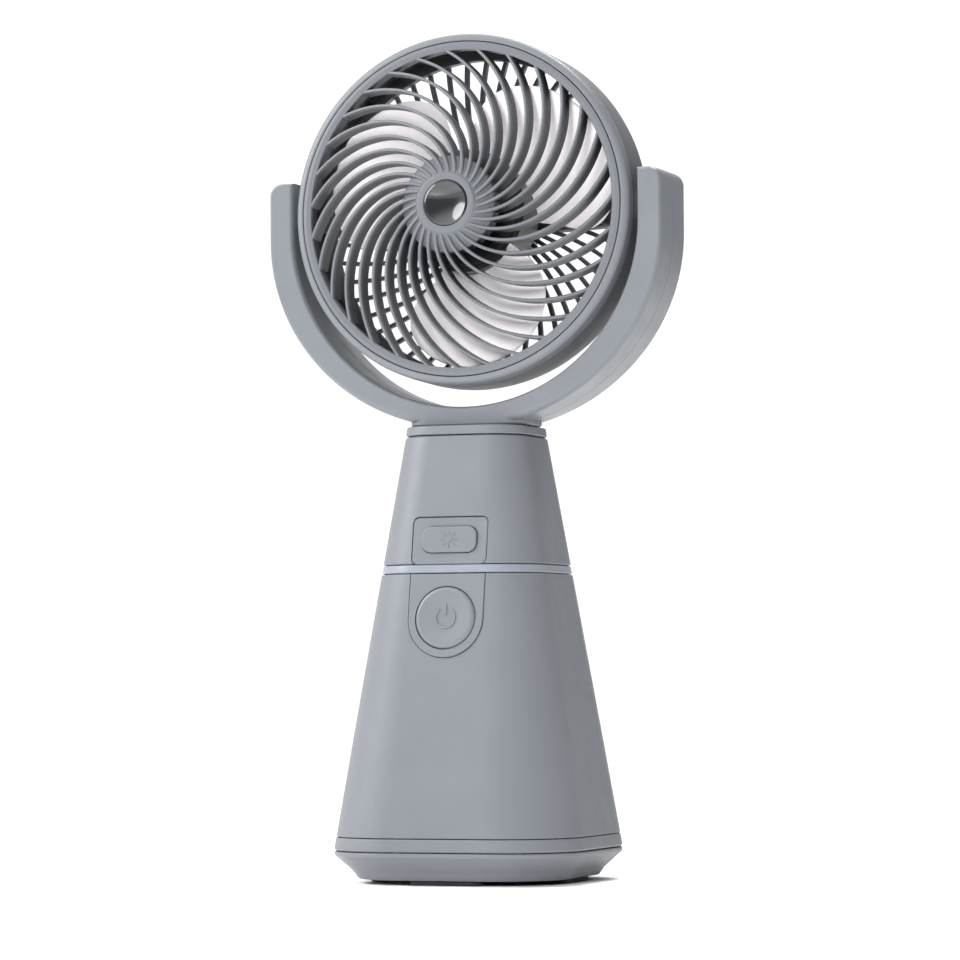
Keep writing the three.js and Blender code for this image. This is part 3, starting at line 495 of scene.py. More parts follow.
def diffuser_material():
    material, tree, shader = new_material("milky_diffuser", 0.32)
    shader.inputs["Subsurface Weight"].default_value = 0.25
    shader.inputs["Subsurface Scale"].default_value = 0.002
    tint(tree, shader, noise(tree, 60, 3), (0.2, 0.22, 0.25), (0.22, 0.24, 0.275))
    bump(tree, shader, noise(tree, 1500, 2), 0.000006)
    return material


def glossy_dark_material():
    material, tree, shader = new_material("glossy_dark_plastic", 0.16)
    shader.inputs["Coat Weight"].default_value = 0.8
    shader.inputs["Coat Roughness"].default_value = 0.04
    tint(tree, shader, noise(tree, 120, 4), (0.008, 0.009, 0.011), (0.012, 0.013, 0.016))
    bump(tree, shader, noise(tree, 900, 2), 0.000003)
    return material


SHELL_COLOR = (0.14, 0.149, 0.165)
GRILLE_COLOR = (0.118, 0.126, 0.139)
BLADE_COLOR = (0.93, 0.895, 0.925)

shell_plastic = moulded_plastic("satin_grey_plastic", SHELL_COLOR, 0.42)
button_plastic = moulded_plastic("button_grey_plastic", shade(SHELL_COLOR, 1.03), 0.36)
blade_plastic = moulded_plastic("pale_blade_plastic", BLADE_COLOR, 0.38)
dark_plastic = moulded_plastic("dark_plastic", (0.022, 0.023, 0.027), 0.32)
acetal = moulded_plastic("natural_acetal", (0.7, 0.7, 0.67), 0.4)
cable_sheath = moulded_plastic("red_lead_sheath", (0.35, 0.035, 0.025), 0.45)
# Darker than the shell as painted shade: it stands in for the shadow in the gaps between the head and the
# yoke's arms.
barrel_painted_shade_plastic = moulded_plastic("barrel_grey_painted_shade", (0.085, 0.09, 0.1), 0.45)
# Near black: partly the rear grille's own dark colour, partly painted shade of the inside of the head.
rear_dark_and_shade_plastic = moulded_plastic("rear_grille_dark_and_painted_shade", (0.05, 0.053, 0.06), 0.42)
rubber = rubber_material()
steel = steel_material()
lamination = steel_material("stator_laminations", (0.36, 0.37, 0.39), (1, 14, 1))
solder_mask = board_material()
cell_wrap = cell_material()
# The near-black second colour is painted shade on the rib sides and in the hub's recess, laid on by depth
# behind the front.
grille_plastic_painted_shade = grille_painted_shade_material(GRILLE_COLOR, (0.018, 0.019, 0.022))
milky = diffuser_material()
glossy_dark = glossy_dark_material()


# -------------------- tower


def base_pan():
    floor_z = pan_low.z + WALL
    rim_z = pan_high.z
    outer = rounded(
        [
            (0, pan_low.z),
            (45.2 * MM, pan_low.z, 1.2 * MM),
            (47.6 * MM, 5.4 * MM, 2.5 * MM),
            (pan_high.x, rim_z - 1.7 * MM, 1.0 * MM),
            (pan_high.x, rim_z, 0.6 * MM),
            (pan_high.x - WALL, rim_z, SEAM_ROUNDING),
            (46 * MM, 6.8 * MM),
            (44 * MM, floor_z),
            (0, floor_z),
        ]
    )[1:-1]
    rings = [square_ring(z, half, half, CORNER_RATIO * half) for half, z in outer]
    pan = new_object("base_pan_looks", loft(rings))
    holes = []
    for i in range(1, 5):
        middle = middle_of(f"base_screw_{i}")
        well = rounded(
            [
                (0, 0),
                (3.7 * MM, 0),
                (3.2 * MM, 0.5 * MM + pan_low.z),
                (3.2 * MM, pan_low.z + 1.2 * MM),
                (1.6 * MM, pan_low.z + 1.2 * MM),
                (1.6 * MM, floor_z + 4 * MM),
                (0, floor_z + 4 * MM),
            ]
        )
        holes.append(moved(lathe(well, 32, "Z"), Matrix.Translation((middle.x, middle.y, 0))))
    boolean(pan, "DIFFERENCE", add(*holes))
    finish_piece(pan, "tower", "shell", shell_plastic, "base_pan")


def base_skirt():
    low, high = skirt_low.z, skirt_high.z
    outline = rounded([(0, low, 1.0 * MM), (0, high, SEAM_ROUNDING), (WALL, high), (WALL, low)])
    piece("base_skirt", tower_shell(outline), "tower", "shell", shell_plastic)


def feet():
    for name in ("foot_front", "foot_rear", "foot_left", "foot_right"):
        low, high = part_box(name)
        half = (high - low) / 2
        place = Matrix.Translation(((low.x + high.x) / 2, (low.y + high.y) / 2, 0))
        radius = 3 * MM
        edge = 0.5 * MM
        rings = []
        for inset, z in ((edge * 2, 0), (edge * 0.6, edge * 0.15), (0, edge), (0, high.z)):
            rings.append(square_ring(z, half.x - inset, half.y - inset, radius - inset))
        foot = new_object(f"{name}_looks", moved(loft(rings), place))
        along = Vector((1, 0, 0)) if half.x > half.y else Vector((0, 1, 0))
        across = Vector((along.y, along.x, 0))
        reach = along * max(half) * 0.8 + across * 0.3 * MM
        grooves = []
        for side in (-1, 0, 1):
            shift = across * side * 2 * MM
            groove = box(shift - reach - Vector((0, 0, 1 * MM)), shift + reach + Vector((0, 0, 0.4 * MM)))
            grooves.append(moved(groove, place))
        boolean(foot, "DIFFERENCE", add(*grooves))
        finish_piece(foot, "tower", "rubber", rubber, name)


def face_frame(z):
    """A frame on the tower's sloping front: local -Y points out of it, local +Z up the slope."""
    return Matrix.Translation((0, -tower_half(z), z)) @ Matrix.Rotation(-TOWER_TILT, 4, "X")


POWER_Z = 109.6 * MM
LIGHT_Z = 142 * MM
POWER_R = 13 * MM
LIGHT_KEY_SIZE = (12 * MM, 5.5 * MM, 4 * MM)  # half width, half height, corner radius
PAD_HALF_WIDTH = 16.3 * MM
PAD_LOW_Z = 93.3 * MM
PAD_TOP_Z = 151.4 * MM
SLOPE_SCALE = math.hypot(1, TOWER_SLOPE)
RING_MIDDLE_Z = (lower_top + upper_low.z) / 2
KEY_MOUTH = [(0, -5 * MM), (0, 9 * MM)]  # levels of the hole that a key moves in
KEY_LIP = 1.1 * MM  # the flange that holds a key in behind its mouth
KEY_LIP_FRONT = 2.75 * MM
KEY_LIP_BACK = 3.9 * MM
PAD_LEAN = math.radians(1.3)  # the pad sinks into the wall at its top and stands proud at its foot
PAD_THICKNESS = 1.5 * MM
PAD_FRAME = face_frame(RING_MIDDLE_Z) @ Matrix.Rotation(-PAD_LEAN, 4, "X")


def pad_height(z):
    """Distance up the slope from the light ring's middle to a height."""
    return (z - RING_MIDDLE_Z) * SLOPE_SCALE


def lower_pad_outline(inset):
    half = PAD_HALF_WIDTH - inset
    top = pad_height(lower_top) - inset
    low = pad_height(PAD_LOW_Z) + PAD_HALF_WIDTH
    arc = [(half * math.cos(a), low + half * math.sin(a)) for a in spaced(math.pi, FULL_TURN, 40)]
    return [(half, top), (-half, top), *arc]


def upper_pad_outline(inset):
    half_x = PAD_HALF_WIDTH
    low, top = pad_height(upper_low.z), pad_height(PAD_TOP_Z)
    shape = rounded_rectangle(half_x, (top - low) / 2, 2.5 * MM)(inset)
    return [(x, z + (top + low) / 2) for x, z in shape]


def tower_pocket(outline):
    """The recess in the tower's wall for a control plate."""
    return moved(stack(outline, [(-GAP, -4 * MM), (-GAP, PAD_THICKNESS + GAP)]), PAD_FRAME)


def light_key_shape(growth):
    return rounded_rectangle(*(size + growth for size in LIGHT_KEY_SIZE))


def power_mouth():
    return moved(stack(circle(POWER_R + GAP), KEY_MOUTH), face_frame(POWER_Z))


def light_mouth():
    return moved(stack(light_key_shape(GAP), KEY_MOUTH), face_frame(LIGHT_Z))


def lower_housing():
    top = lower_top
    outline = rounded(
        [(0, HOUSING_LOW_Z, SEAM_ROUNDING), (0, top, SEAM_ROUNDING), (WALL, top), (WALL, HOUSING_LOW_Z)]
    )
    shell = new_object("lower_housing_looks", tower_shell(outline))
    middle = middle_of("charge_socket")
    port = rounded_rectangle(4.9 * MM, 2.0 * MM, 1.9 * MM)
    depth = [(-1.2 * MM, 60 * MM), (-1.2 * MM, 51.6 * MM), (0, 50.6 * MM), (0, 40 * MM)]
    opening = moved(stack(port, depth), Matrix.Translation((middle.x, 0, middle.z)))
    boolean(shell, "DIFFERENCE", tower_pocket(lower_pad_outline), power_mouth(), opening)
    finish_piece(shell, "tower", "shell", shell_plastic, "lower_housing")


def light_ring():
    low, high = lower_top + GAP, upper_low.z - GAP
    lip = WALL + GAP
    outline = rounded(
        [
            (0.15 * MM, low, 0.6 * MM),
            (0.15 * MM, high, 0.6 * MM),
            (lip, high),
            (lip, high + 2.2 * MM),
            (lip + 1.5 * MM, high + 2.2 * MM),
            (lip + 1.5 * MM, low - 2.2 * MM),
            (lip, low - 2.2 * MM),
            (lip, low),
        ]
    )
    piece("light_ring", tower_shell(outline), "tower", "diffuser", milky)


def round_ring(z, radius):
    """A circle with as many points as a tower ring, starting where that starts."""
    ring = []
    for corner in range(4):
        for step in range(CORNER_POINTS + 1):
            angle = (corner + (0.02 + 0.96 * step / CORNER_POINTS)) * math.pi / 2
            ring.append((radius * math.cos(angle), radius * math.sin(angle), z))
    return ring


def upper_housing():
    low, top = upper_low.z, upper_high.z
    ledge = 4 * MM
    outline = rounded(
        [
            (0, low, SEAM_ROUNDING),
            (0, top, 1.4 * MM),
            (ledge, top),
            (ledge, top - WALL),
            (WALL, top - WALL),
            (WALL, low),
        ]
    )
    split = len(outline) - 4
    rings = [tower_ring(z, inset) for inset, z in outline]
    rings[split + 1 : split + 1] = [round_ring(top, BUSH_HOLE_R), round_ring(top - WALL, BUSH_HOLE_R)]
    shell = new_object("upper_housing_looks", loft(rings, closed=True))
    boolean(shell, "DIFFERENCE", tower_pocket(upper_pad_outline), light_mouth())
    finish_piece(shell, "tower", "shell", shell_plastic, "upper_housing")


def neck_collar():
    low, high = collar_low.z, collar_high.z
    half = collar_high.x
    inner = 6 * MM
    outline = rounded([(0, low, 0.5 * MM), (0.4 * MM, high, 0.9 * MM), (inner, high), (inner, low)])
    rings = [square_ring(z, half - i, half - i, CORNER_RATIO * half - i) for i, z in outline]
    rings[-1:-1] = [round_ring(high, BUSH_HOLE_R), round_ring(low, BUSH_HOLE_R)]
    piece("neck_collar", loft(rings, closed=True), "tower", "shell", shell_plastic)


# -------------------- controls


def bar(first, last, width, front, back):
    """A rounded stroke of an icon between two points, from one depth to another."""
    first, last = Vector(first), Vector(last)
    along = (last - first).normalized()
    angle = math.atan2(along.y, along.x)
    points = []
    for centre, start in ((last, angle - math.pi / 2), (first, angle + math.pi / 2)):
        for a in spaced(start, start + math.pi, 6):
            points.append((centre.x + width / 2 * math.cos(a), centre.y + width / 2 * math.sin(a)))
    return loft([[(x, y, z) for x, z in points] for y in (front, back)])


def arc_bar(radius, first, last, width, front, back):
    """A curved stroke of an icon, as an arc about the icon's middle."""
    rings = []
    for a in spaced(first, last, 40):
        c, s = math.cos(a), math.sin(a)
        inner, outer = radius - width / 2, radius + width / 2
        corners = [(inner, front), (outer, front), (outer, back), (inner, back)]
        rings.append([(r * c, y, r * s) for r, y in corners])
    return loft(rings)


def control_plate(name, outline, mouth, node):
    edge = 0.45 * MM
    levels = [*front_edge(0, edge, edge), (0, PAD_THICKNESS)]
    plate = new_object(name, moved(stack(outline, levels), PAD_FRAME))
    boolean(plate, "DIFFERENCE", mouth)
    finish_piece(plate, "tower", "shell", shell_plastic, node)


def power_button():
    """A round key with a shallow dish and a raised power sign."""
    proud = -1.3 * MM
    bevel = 1.7 * MM
    rim = POWER_R - bevel - 0.4 * MM
    outline = [
        (0, proud + 0.9 * MM),
        (rim * 0.4, proud + 0.76 * MM),
        (rim * 0.75, proud + 0.4 * MM),
        (rim, proud),
        *((POWER_R - inset, depth) for inset, depth in front_edge(proud, bevel, bevel, 5)),
        (POWER_R, KEY_LIP_FRONT),
        (POWER_R + KEY_LIP, KEY_LIP_FRONT),
        (POWER_R + KEY_LIP, KEY_LIP_BACK),
        (0, KEY_LIP_BACK),
    ]
    face = face_frame(POWER_Z)
    piece("power_button", moved(lathe(outline, 72), face), "power_button", "button", button_plastic)
    raised, sunk = proud + 0.28 * MM, proud + 1.2 * MM
    gap = math.radians(38)
    sign = add(
        arc_bar(4.2 * MM, math.pi / 2 + gap, 2.5 * math.pi - gap, 0.9 * MM, raised, sunk),
        bar((0, 1.6 * MM), (0, 5.6 * MM), 0.9 * MM, raised, sunk),
    )
    mark = new_object("power_sign", moved(sign, face))
    finish_piece(mark, "power_button", "button", button_plastic)


def light_button():
    """An oblong key with a raised sign for the lamp: a disc with rays."""
    proud = -1.0 * MM
    face = face_frame(LIGHT_Z)
    edge = 0.7 * MM
    cap = stack(light_key_shape(0), [*front_edge(proud, edge, edge, 5), (0, 3 * MM)])
    flange = stack(light_key_shape(KEY_LIP), [(0, KEY_LIP_FRONT), (0, KEY_LIP_BACK)])
    piece("light_button", moved(add(cap, flange), face), "light_button", "button", button_plastic)
    raised, sunk = proud - 0.25 * MM, proud + 0.4 * MM
    rays = []
    for i in range(8):
        a = i * FULL_TURN / 8
        c, s = math.cos(a), math.sin(a)
        root, tip = ((r * MM * c, r * MM * s) for r in (2.3, 3.4))
        rays.append(bar(root, tip, 0.55 * MM, raised, sunk))
    disc = stack(circle(1.4 * MM, 24), [(0, raised), (0, sunk)])
    mark = new_object("light_sign", moved(add(disc, *rays), face))
    finish_piece(mark, "light_button", "button", button_plastic)


# -------------------- yoke


def pin_holes():
    """A long rod along the tilt axis that cuts both tilt pins' holes."""
    return rod(PIN_HOLE_R, 82 * MM, 32, "X")


def band_outline(inset, underside_growth=0.0):
    """The U band's outline about the pivot, moved in by an inset that may grow along its underside."""
    outer_r, outer_height = BAND_OUTER_R
    inner_r = BAND_INNER_R + inset
    top = ARM_TOP - inset
    corner = ARM_CORNER_R - inset
    corner_x = outer_r - inset - corner
    points = [(inner_r, top)]
    for a in spaced(math.pi / 2, 0, 8):
        points.append((corner_x + corner * math.cos(a), top - corner + corner * math.sin(a)))
    for a in spaced(0, -math.pi, 90):
        deep = inset * (1 + underside_growth * math.sin(a) ** 4)
        x, z = (outer_r - deep) * math.cos(a), (outer_height - deep) * math.sin(a)
        points.append((x, z - BAND_OUTER_DROP))
    for a in spaced(math.pi, math.pi / 2, 8):
        points.append((-corner_x + corner * math.cos(a), top - corner + corner * math.sin(a)))
    points.append((-inner_r, top))
    for a in spaced(-math.pi, 0, 90):
        points.append((inner_r * math.cos(a), -BAND_INNER_DROP + inner_r * math.sin(a)))
    return points


def band_skin(inset):
    """The band's outline with an edge that is rounded more deeply along its underside."""
    return band_outline(inset, underside_growth=1.4)


def yoke_tongue(pivot):
    """A thin wall inside the front shell that reaches over the split and closes its seam."""
    foot = BAND_WALL - 0.2 * MM
    free = BAND_WALL + 0.25 * MM
    inside = BAND_WALL + 1.2 * MM
    root = -1.5 * MM
    tip = 1.4 * MM
    outside = [(foot, 2 * root), (foot, root), (free, root + 0.5 * MM), (free, tip)]
    tongue = new_object("tongue", moved(stack(band_outline, outside), pivot))
    core = moved(stack(band_outline, [(inside, 3 * root), (inside, 2 * tip)]), pivot)
    spindle_room = box((-15 * MM, -BEYOND, 0), (15 * MM, BEYOND, 220 * MM))
    boolean(tongue, "DIFFERENCE", core, spindle_room)
    return taken_mesh(tongue)


def yoke_shells():
    """The U band and its neck as one body, hollowed and split into a front and a rear shell."""
    levels = front_edge(-BAND_DEPTH, 1.5 * MM, 3 * MM, 6)
    levels += [(inset, -y) for inset, y in reversed(levels)]
    pivot = Matrix.Translation(PIVOT)
    whole = new_object("yoke", moved(stack(band_skin, levels), pivot))
    neck_rings = []
    for inset, z in ((0.6 * MM, NECK_LOW_Z), (0, NECK_LOW_Z + 0.6 * MM), (0, NECK_TOP_Z)):
        neck_rings.append(square_ring(z, NECK_HALF_WIDTH - inset, BAND_DEPTH - inset, NECK_CORNER_R))
    neck = new_object("neck", loft(neck_rings))
    bore = rod(BAND_INNER_R + 1.7 * MM, 30 * MM, 180)
    boolean(neck, "DIFFERENCE", moved(bore, Matrix.Translation(PIVOT - Vector((0, 0, BAND_INNER_DROP)))))
    boolean(whole, "UNION", taken_mesh(neck))
    below = box((-BEYOND, -BEYOND, 0), (BEYOND, BEYOND, NECK_LOW_Z))
    channel_levels = [(BAND_WALL, -BAND_DEPTH + BAND_WALL), (BAND_WALL, BAND_DEPTH - BAND_WALL)]
    channel = moved(stack(band_outline, channel_levels), pivot)
    pins = moved(pin_holes(), pivot)
    wells = []
    for i in range(1, 5):
        middle = middle_of(f"yoke_screw_{i}")
        well = [
            (0, -8.5 * MM),
            (1.6 * MM, -8.5 * MM),
            (1.6 * MM, BAND_DEPTH - 2.2 * MM),
            (2.9 * MM, BAND_DEPTH - 2.2 * MM),
            (2.9 * MM, BAND_DEPTH - 0.4 * MM),
            (3.7 * MM, BAND_DEPTH + 0.4 * MM),
            (0, BAND_DEPTH + 0.4 * MM),
        ]
        wells.append(moved(lathe(well, 32), Matrix.Translation((middle.x, 0, middle.z))))
    boolean(whole, "DIFFERENCE", below, channel)
    for side, name in ((-1, "front"), (1, "rear")):
        shell = bpy.data.objects.new(f"yoke_{name}_shell_looks", whole.data.copy())
        scene.collection.objects.link(shell)
        near, far = sorted((side * GAP / 2, side * BEYOND))
        boolean(shell, "INTERSECT", box((-BEYOND, near, 0), (BEYOND, far, BEYOND)))
        if name == "front":
            boolean(shell, "UNION", yoke_tongue(pivot))
        boolean(shell, "DIFFERENCE", pins, add(*wells))
        finish_piece(shell, "yoke", "shell", shell_plastic, f"yoke_{name}_shell")
    bpy.data.objects.remove(whole)


def tilt_washers():
    inner, outer, edge = PIN_HOLE_R, 7 * MM, 0.3 * MM
    for side in ("left", "right"):
        first, last = (corner.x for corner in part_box(f"tilt_washer_{side}"))
        outline = rounded([(inner, first), (outer, first, edge), (outer, last, edge), (inner, last)])
        solid = moved(lathe(outline, 48, "X"), Matrix.Translation(PIVOT))
        piece(f"tilt_washer_{side}", solid, "yoke", "white_plastic", acetal)


# -------------------- head


def front_dome(radius):
    return DOME_MIDDLE + (RIM_FRONT - DOME_MIDDLE) * (radius / DOME_R) ** 2


def rear_dome(radius):
    return REAR_RIM + REAR_DOME * (1 - (radius / REAR_DOME_R) ** 2)


def rear_rib_front(radius):
    return rear_dome(radius) - 1.3 * MM


def rear_arm_front(radius):
    return rear_dome(radius) - 1.8 * MM


def rib(start_angle, twist, radii, dome, width, depth, root_width=None):
    """A rib that winds out over a dome, with a rounded front edge and a little draft towards its back."""
    root_width = root_width or width
    rings = []
    for radius in radii:
        share = (radius - radii[0]) / (radii[-1] - radii[0])
        half = (root_width + (width - root_width) * min(1, share * 3)) / 2
        angle = start_angle + twist * radius
        across = angle + math.atan(twist * radius) + math.pi / 2
        centre = Vector((radius * math.cos(angle), dome(radius), radius * math.sin(angle)))
        side = Vector((math.cos(across), 0, math.sin(across)))
        left = [(-0.8, depth), (-1, half), (-0.72, half * 0.3)]
        section = [*left, (0, 0), *((-x, y) for x, y in reversed(left))]
        rings.append([centre + side * half * x + Vector((0, y, 0)) for x, y in section])
    return loft(rings)


def front_ring():
    back = BARREL_FRONT - GAP
    ledge = RIM_BACK + GAP
    outline = rounded(
        [
            (HEAD_R, back, 0.4 * MM),
            (SEAM_R - 0.5 * MM, back),
            (SEAM_R - 2 * MM, ledge + 1.4 * MM),
            (SEAM_R - 2 * MM, ledge),
            (SEAM_R + GAP / 2, ledge),
            (SEAM_R + GAP / 2, RIM_FRONT, 0.5 * MM),
            (HEAD_R - 0.2 * MM, RIM_FRONT + 0.3 * MM, 2.8 * MM),
        ],
        6,
    )
    piece("front_ring", moved(lathe(outline, 160), HEAD), "head", "shell", shell_plastic)


def head_barrel():
    inner = HEAD_R - 2.5 * MM
    lip_r = 69.3 * MM  # the lip reaches under the front ring and closes the seam
    outline = rounded(
        [
            (inner, BARREL_FRONT),
            (HEAD_R, BARREL_FRONT, 0.4 * MM),
            (HEAD_R, BARREL_BACK, 0.6 * MM),
            (inner, BARREL_BACK),
            (inner, BARREL_FRONT + 2.2 * MM),
            (lip_r - 1.2 * MM, BARREL_FRONT + 2.2 * MM),
            (lip_r - 1.2 * MM, BARREL_FRONT - 0.9 * MM),
            (lip_r, BARREL_FRONT - 0.9 * MM),
            (lip_r, BARREL_FRONT + 0.6 * MM),
            (inner, BARREL_FRONT + 0.6 * MM),
        ]
    )
    barrel = new_object("head_barrel_looks", lathe(outline, 160))
    boolean(barrel, "DIFFERENCE", pin_holes())
    barrel.data.transform(HEAD)
    # The barrel's darker grey is painted shade for the gaps beside the arms.
    finish_piece(barrel, "head", "shell", barrel_painted_shade_plastic, "head_barrel")


def mark_depth(ribs):
    """Stores how far each vertex lies behind the dome, from 0 at the front to 1 at the back: the mask for
    the grille's painted shade.
    """
    inverse = HEAD.inverted()
    depth = ribs.data.attributes.new("depth", "FLOAT", "POINT")
    for i, vertex in enumerate(ribs.data.vertices):
        place = inverse @ vertex.co
        behind = place.y - front_dome(math.hypot(place.x, place.z))
        depth.data[i].value = min(1.0, max(0.0, behind / RIB_DEPTH))


def front_grille():
    rim_r = SEAM_R - GAP / 2
    rim = rounded(
        [
            (OPENING_R, RIM_BACK),
            (rim_r, RIM_BACK),
            (rim_r, RIM_FRONT, 0.5 * MM),
            (rim_r - 1.6 * MM, RIM_FRONT - 0.3 * MM, 0.8 * MM),
            (OPENING_R, RIM_FRONT, 0.5 * MM),
        ]
    )
    disc_front = front_dome(HUB_DISC_R)
    hub = rounded(
        [
            (0, HUB_FLOOR),
            (INSERT_R + GAP, HUB_FLOOR),
            (INSERT_R + GAP, HUB_FRONT, 0.5 * MM),
            (HUB_RIM_R, HUB_FRONT, 1.1 * MM),
            (HUB_RIM_R + 0.7 * MM, front_dome(HUB_RIM_R) + 0.2 * MM, 0.6 * MM),
            (HUB_RIM_R + 2.2 * MM, front_dome(HUB_RIM_R) + 1.4 * MM, 0.6 * MM),
            (HUB_DISC_R, disc_front + 2.2 * MM, 1.0 * MM),
            (HUB_DISC_R, disc_front + RIB_DEPTH - 0.5 * MM),
            (0, disc_front + RIB_DEPTH - 0.5 * MM),
        ]
    )
    radii = spaced(HUB_RIM_R + 0.8 * MM, OPENING_R + 0.5 * MM, 26)
    ribs = []
    for i in range(RIB_COUNT):
        angle = i * FULL_TURN / RIB_COUNT
        ribs.append(rib(angle, RIB_TWIST, radii, front_dome, 1.35 * MM, RIB_DEPTH, root_width=1.5 * MM))
    grille = new_object("front_grille_looks", moved(add(lathe(rim, 160), lathe(hub, 96), *ribs), HEAD))
    # The depth mask darkens the rib sides and the hub's recess as painted shade.
    mark_depth(grille)
    finish_piece(grille, "head", "grille", grille_plastic_painted_shade, "front_grille", angle=50)


def hub_insert():
    """A glossy dished cap."""
    back = HUB_FLOOR - GAP
    depth = 2.2 * MM
    dish = []
    for share in spaced(0, 1, 14):
        dish.append((INSERT_R * 0.93 * share, back - 0.5 * MM - depth * share**2))
    outline = [*dish, (INSERT_R, back - depth - 0.3 * MM), (INSERT_R, back), (0, back)]
    piece("hub_insert", moved(lathe(outline, 72), HEAD), "head", "dark_plastic", glossy_dark)


def rear_grille():
    inner, outer = 66.6 * MM, HEAD_R - 0.6 * MM
    front, back = BARREL_BACK + GAP, REAR_RIM + 1.4 * MM
    rim = rounded(
        [(inner, front), (outer, front, 0.4 * MM), (outer, back, 1.8 * MM), (inner, back, 0.6 * MM)]
    )
    cup = rounded(
        [
            (0, CUP_BACK),
            (CUP_R, CUP_BACK, 2.0 * MM),
            (CUP_R, CUP_MOUTH, 0.5 * MM),
            (MOTOR_R + GAP, CUP_MOUTH),
            (MOTOR_R + GAP, CUP_BACK - 2.3 * MM),
            (0, CUP_BACK - 2.3 * MM),
        ]
    )
    radii = spaced(MOTOR_R + 2 * MM, 69 * MM, 14)
    ribs = []
    for i in range(REAR_RIB_COUNT):
        angle = (i + 0.5) * FULL_TURN / REAR_RIB_COUNT
        ribs.append(rib(angle, REAR_RIB_TWIST, radii, rear_rib_front, 1.9 * MM, 3.4 * MM))
    arms = []
    for i in range(2):
        arms.append(rib(i * math.pi, 0, radii, rear_arm_front, 11 * MM, 4.2 * MM))
    solid = add(lathe(rim, 160), lathe(cup, 72), *ribs, *arms)
    piece("rear_grille", moved(solid, HEAD), "head", "grille", rear_dark_and_shade_plastic, angle=50)


# -------------------- impeller


def blade_half_angle(radius):
    tip = max(0.0, (radius - BLADE_WIDEST_R) / (BLADE_TIP_R + 0.05 * MM - BLADE_WIDEST_R))
    return math.radians(46) * math.sqrt(1 - tip**2.4)


def blade_middle(radius):
    return math.radians(38 - 0.3 * max(0, radius - BLADE_WIDEST_R) / MM)


def blade(turn):
    """A broad leaf-shaped blade that comes forward with its angle, thin at its edges."""
    middle = (IMPELLER_FRONT + IMPELLER_BACK) / 2
    across = 30
    thickness = 1.5 * MM
    radii = [BLADE_TIP_R - (BLADE_TIP_R - BLADE_ROOT_R) * (1 - i / 26) ** 1.7 for i in range(27)]
    rings = []
    for radius in radii:
        half = blade_half_angle(radius)
        ring = []
        for side in (1, -1):
            for i in range(across + 1):
                share = side * math.sin((2 * i / across - 1) * math.pi / 2)
                angle = blade_middle(radius) + half * share + turn
                camber = 1.5 * MM * (1 - share * share)
                edge = side * thickness / 2 * math.sqrt(max(0.0, 1 - share**6))
                axial = middle - BLADE_ADVANCE * half * share - camber + edge
                ring.append((radius * math.cos(angle), axial, radius * math.sin(angle)))
        rings.append(ring)
    return loft(rings)


def impeller():
    front, back = IMPELLER_FRONT, IMPELLER_BACK
    wall = 1.8 * MM
    hub = rounded(
        [
            (1.8 * MM, front),
            (IMPELLER_HUB_R, front, 1.6 * MM),
            (IMPELLER_HUB_R, back, 0.5 * MM),
            (IMPELLER_HUB_R - wall, back),
            (IMPELLER_HUB_R - wall, front + wall),
            (5 * MM, front + wall),
            (5 * MM, back - 2.5 * MM),
            (1.8 * MM, back - 2.5 * MM),
        ]
    )
    blades = [blade(i * FULL_TURN / BLADE_COUNT) for i in range(BLADE_COUNT)]
    piece("impeller", moved(add(*blades), HEAD), "impeller", "blade", blade_plastic, angle=60)
    # The hub is drawn in near-black plastic as painted shade behind the grille's front disc; the blades
    # keep their pale plastic.
    core = new_object("impeller_hub", moved(lathe(hub, 96), HEAD))
    finish_piece(core, "impeller", "dark_plastic", dark_plastic)
    # The cap is near black, partly its own dark colour and partly painted shade behind the grille's front
    # disc.
    cap_back = front - GAP
    cap = rounded(
        [
            (4.6 * MM, cap_back),
            (23.8 * MM, cap_back),
            (23.8 * MM, cap_back - 1.6 * MM, 1.0 * MM),
            (4.6 * MM, cap_back - 1.6 * MM, 0.3 * MM),
        ]
    )
    piece("hub_cap", moved(lathe(cap, 96), HEAD), "impeller", "dark_plastic", dark_plastic)


# -------------------- screws and socket


def screw(name, body, matrix, head_r, head_height, shank_r, length):
    """A pan-head screw with a cross recess: its head's top at the origin, its shank along -Z."""
    outline = rounded(
        [
            (0, -length),
            (shank_r * 0.5, -length),
            (shank_r, -length + shank_r),
            (shank_r, -head_height),
            (head_r, -head_height, 0.15 * MM),
            (head_r * 0.92, 0, head_height * 0.4),
            (0, 0),
        ]
    )
    thing = new_object(f"{name}_looks", lathe(outline, 28, "Z"))
    arm, half = head_r * 0.55, head_r * 0.13
    depth = head_height * 0.7
    slots = [box((-x, -y, -depth), (x, y, 1 * MM)) for x, y in ((arm, half), (half, arm))]
    boolean(thing, "DIFFERENCE", *slots)
    thing.data.transform(matrix)
    finish_piece(thing, body, "steel", steel, name)


def screws():
    for i in range(1, 5):
        middle = middle_of(f"base_screw_{i}")
        top = Matrix.Translation((middle.x, middle.y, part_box(f"base_screw_{i}")[0].z))
        place = top @ Matrix.Rotation(math.pi, 4, "X")
        screw(f"base_screw_{i}", "tower", place, 2.7 * MM, 0.8 * MM, 1.25 * MM, 17 * MM)
        middle = middle_of(f"yoke_screw_{i}")
        place = Matrix.Translation((middle.x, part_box(f"yoke_screw_{i}")[1].y, middle.z))
        top = place @ Matrix.Rotation(-math.pi / 2, 4, "X")
        screw(f"yoke_screw_{i}", "yoke", top, 2.5 * MM, 1.4 * MM, 1.25 * MM, 22 * MM)
        angle = math.radians(45 + 90 * (i - 1))
        x, z = HEAD_SCREW_R * math.cos(angle), HEAD_SCREW_R * math.sin(angle)
        top = HEAD @ Matrix.Translation((x, REAR_RIM + 3.0 * MM, z)) @ Matrix.Rotation(-math.pi / 2, 4, "X")
        screw(f"head_screw_{i}", "head", top, 2.2 * MM, 1.3 * MM, 1.05 * MM, 10 * MM)


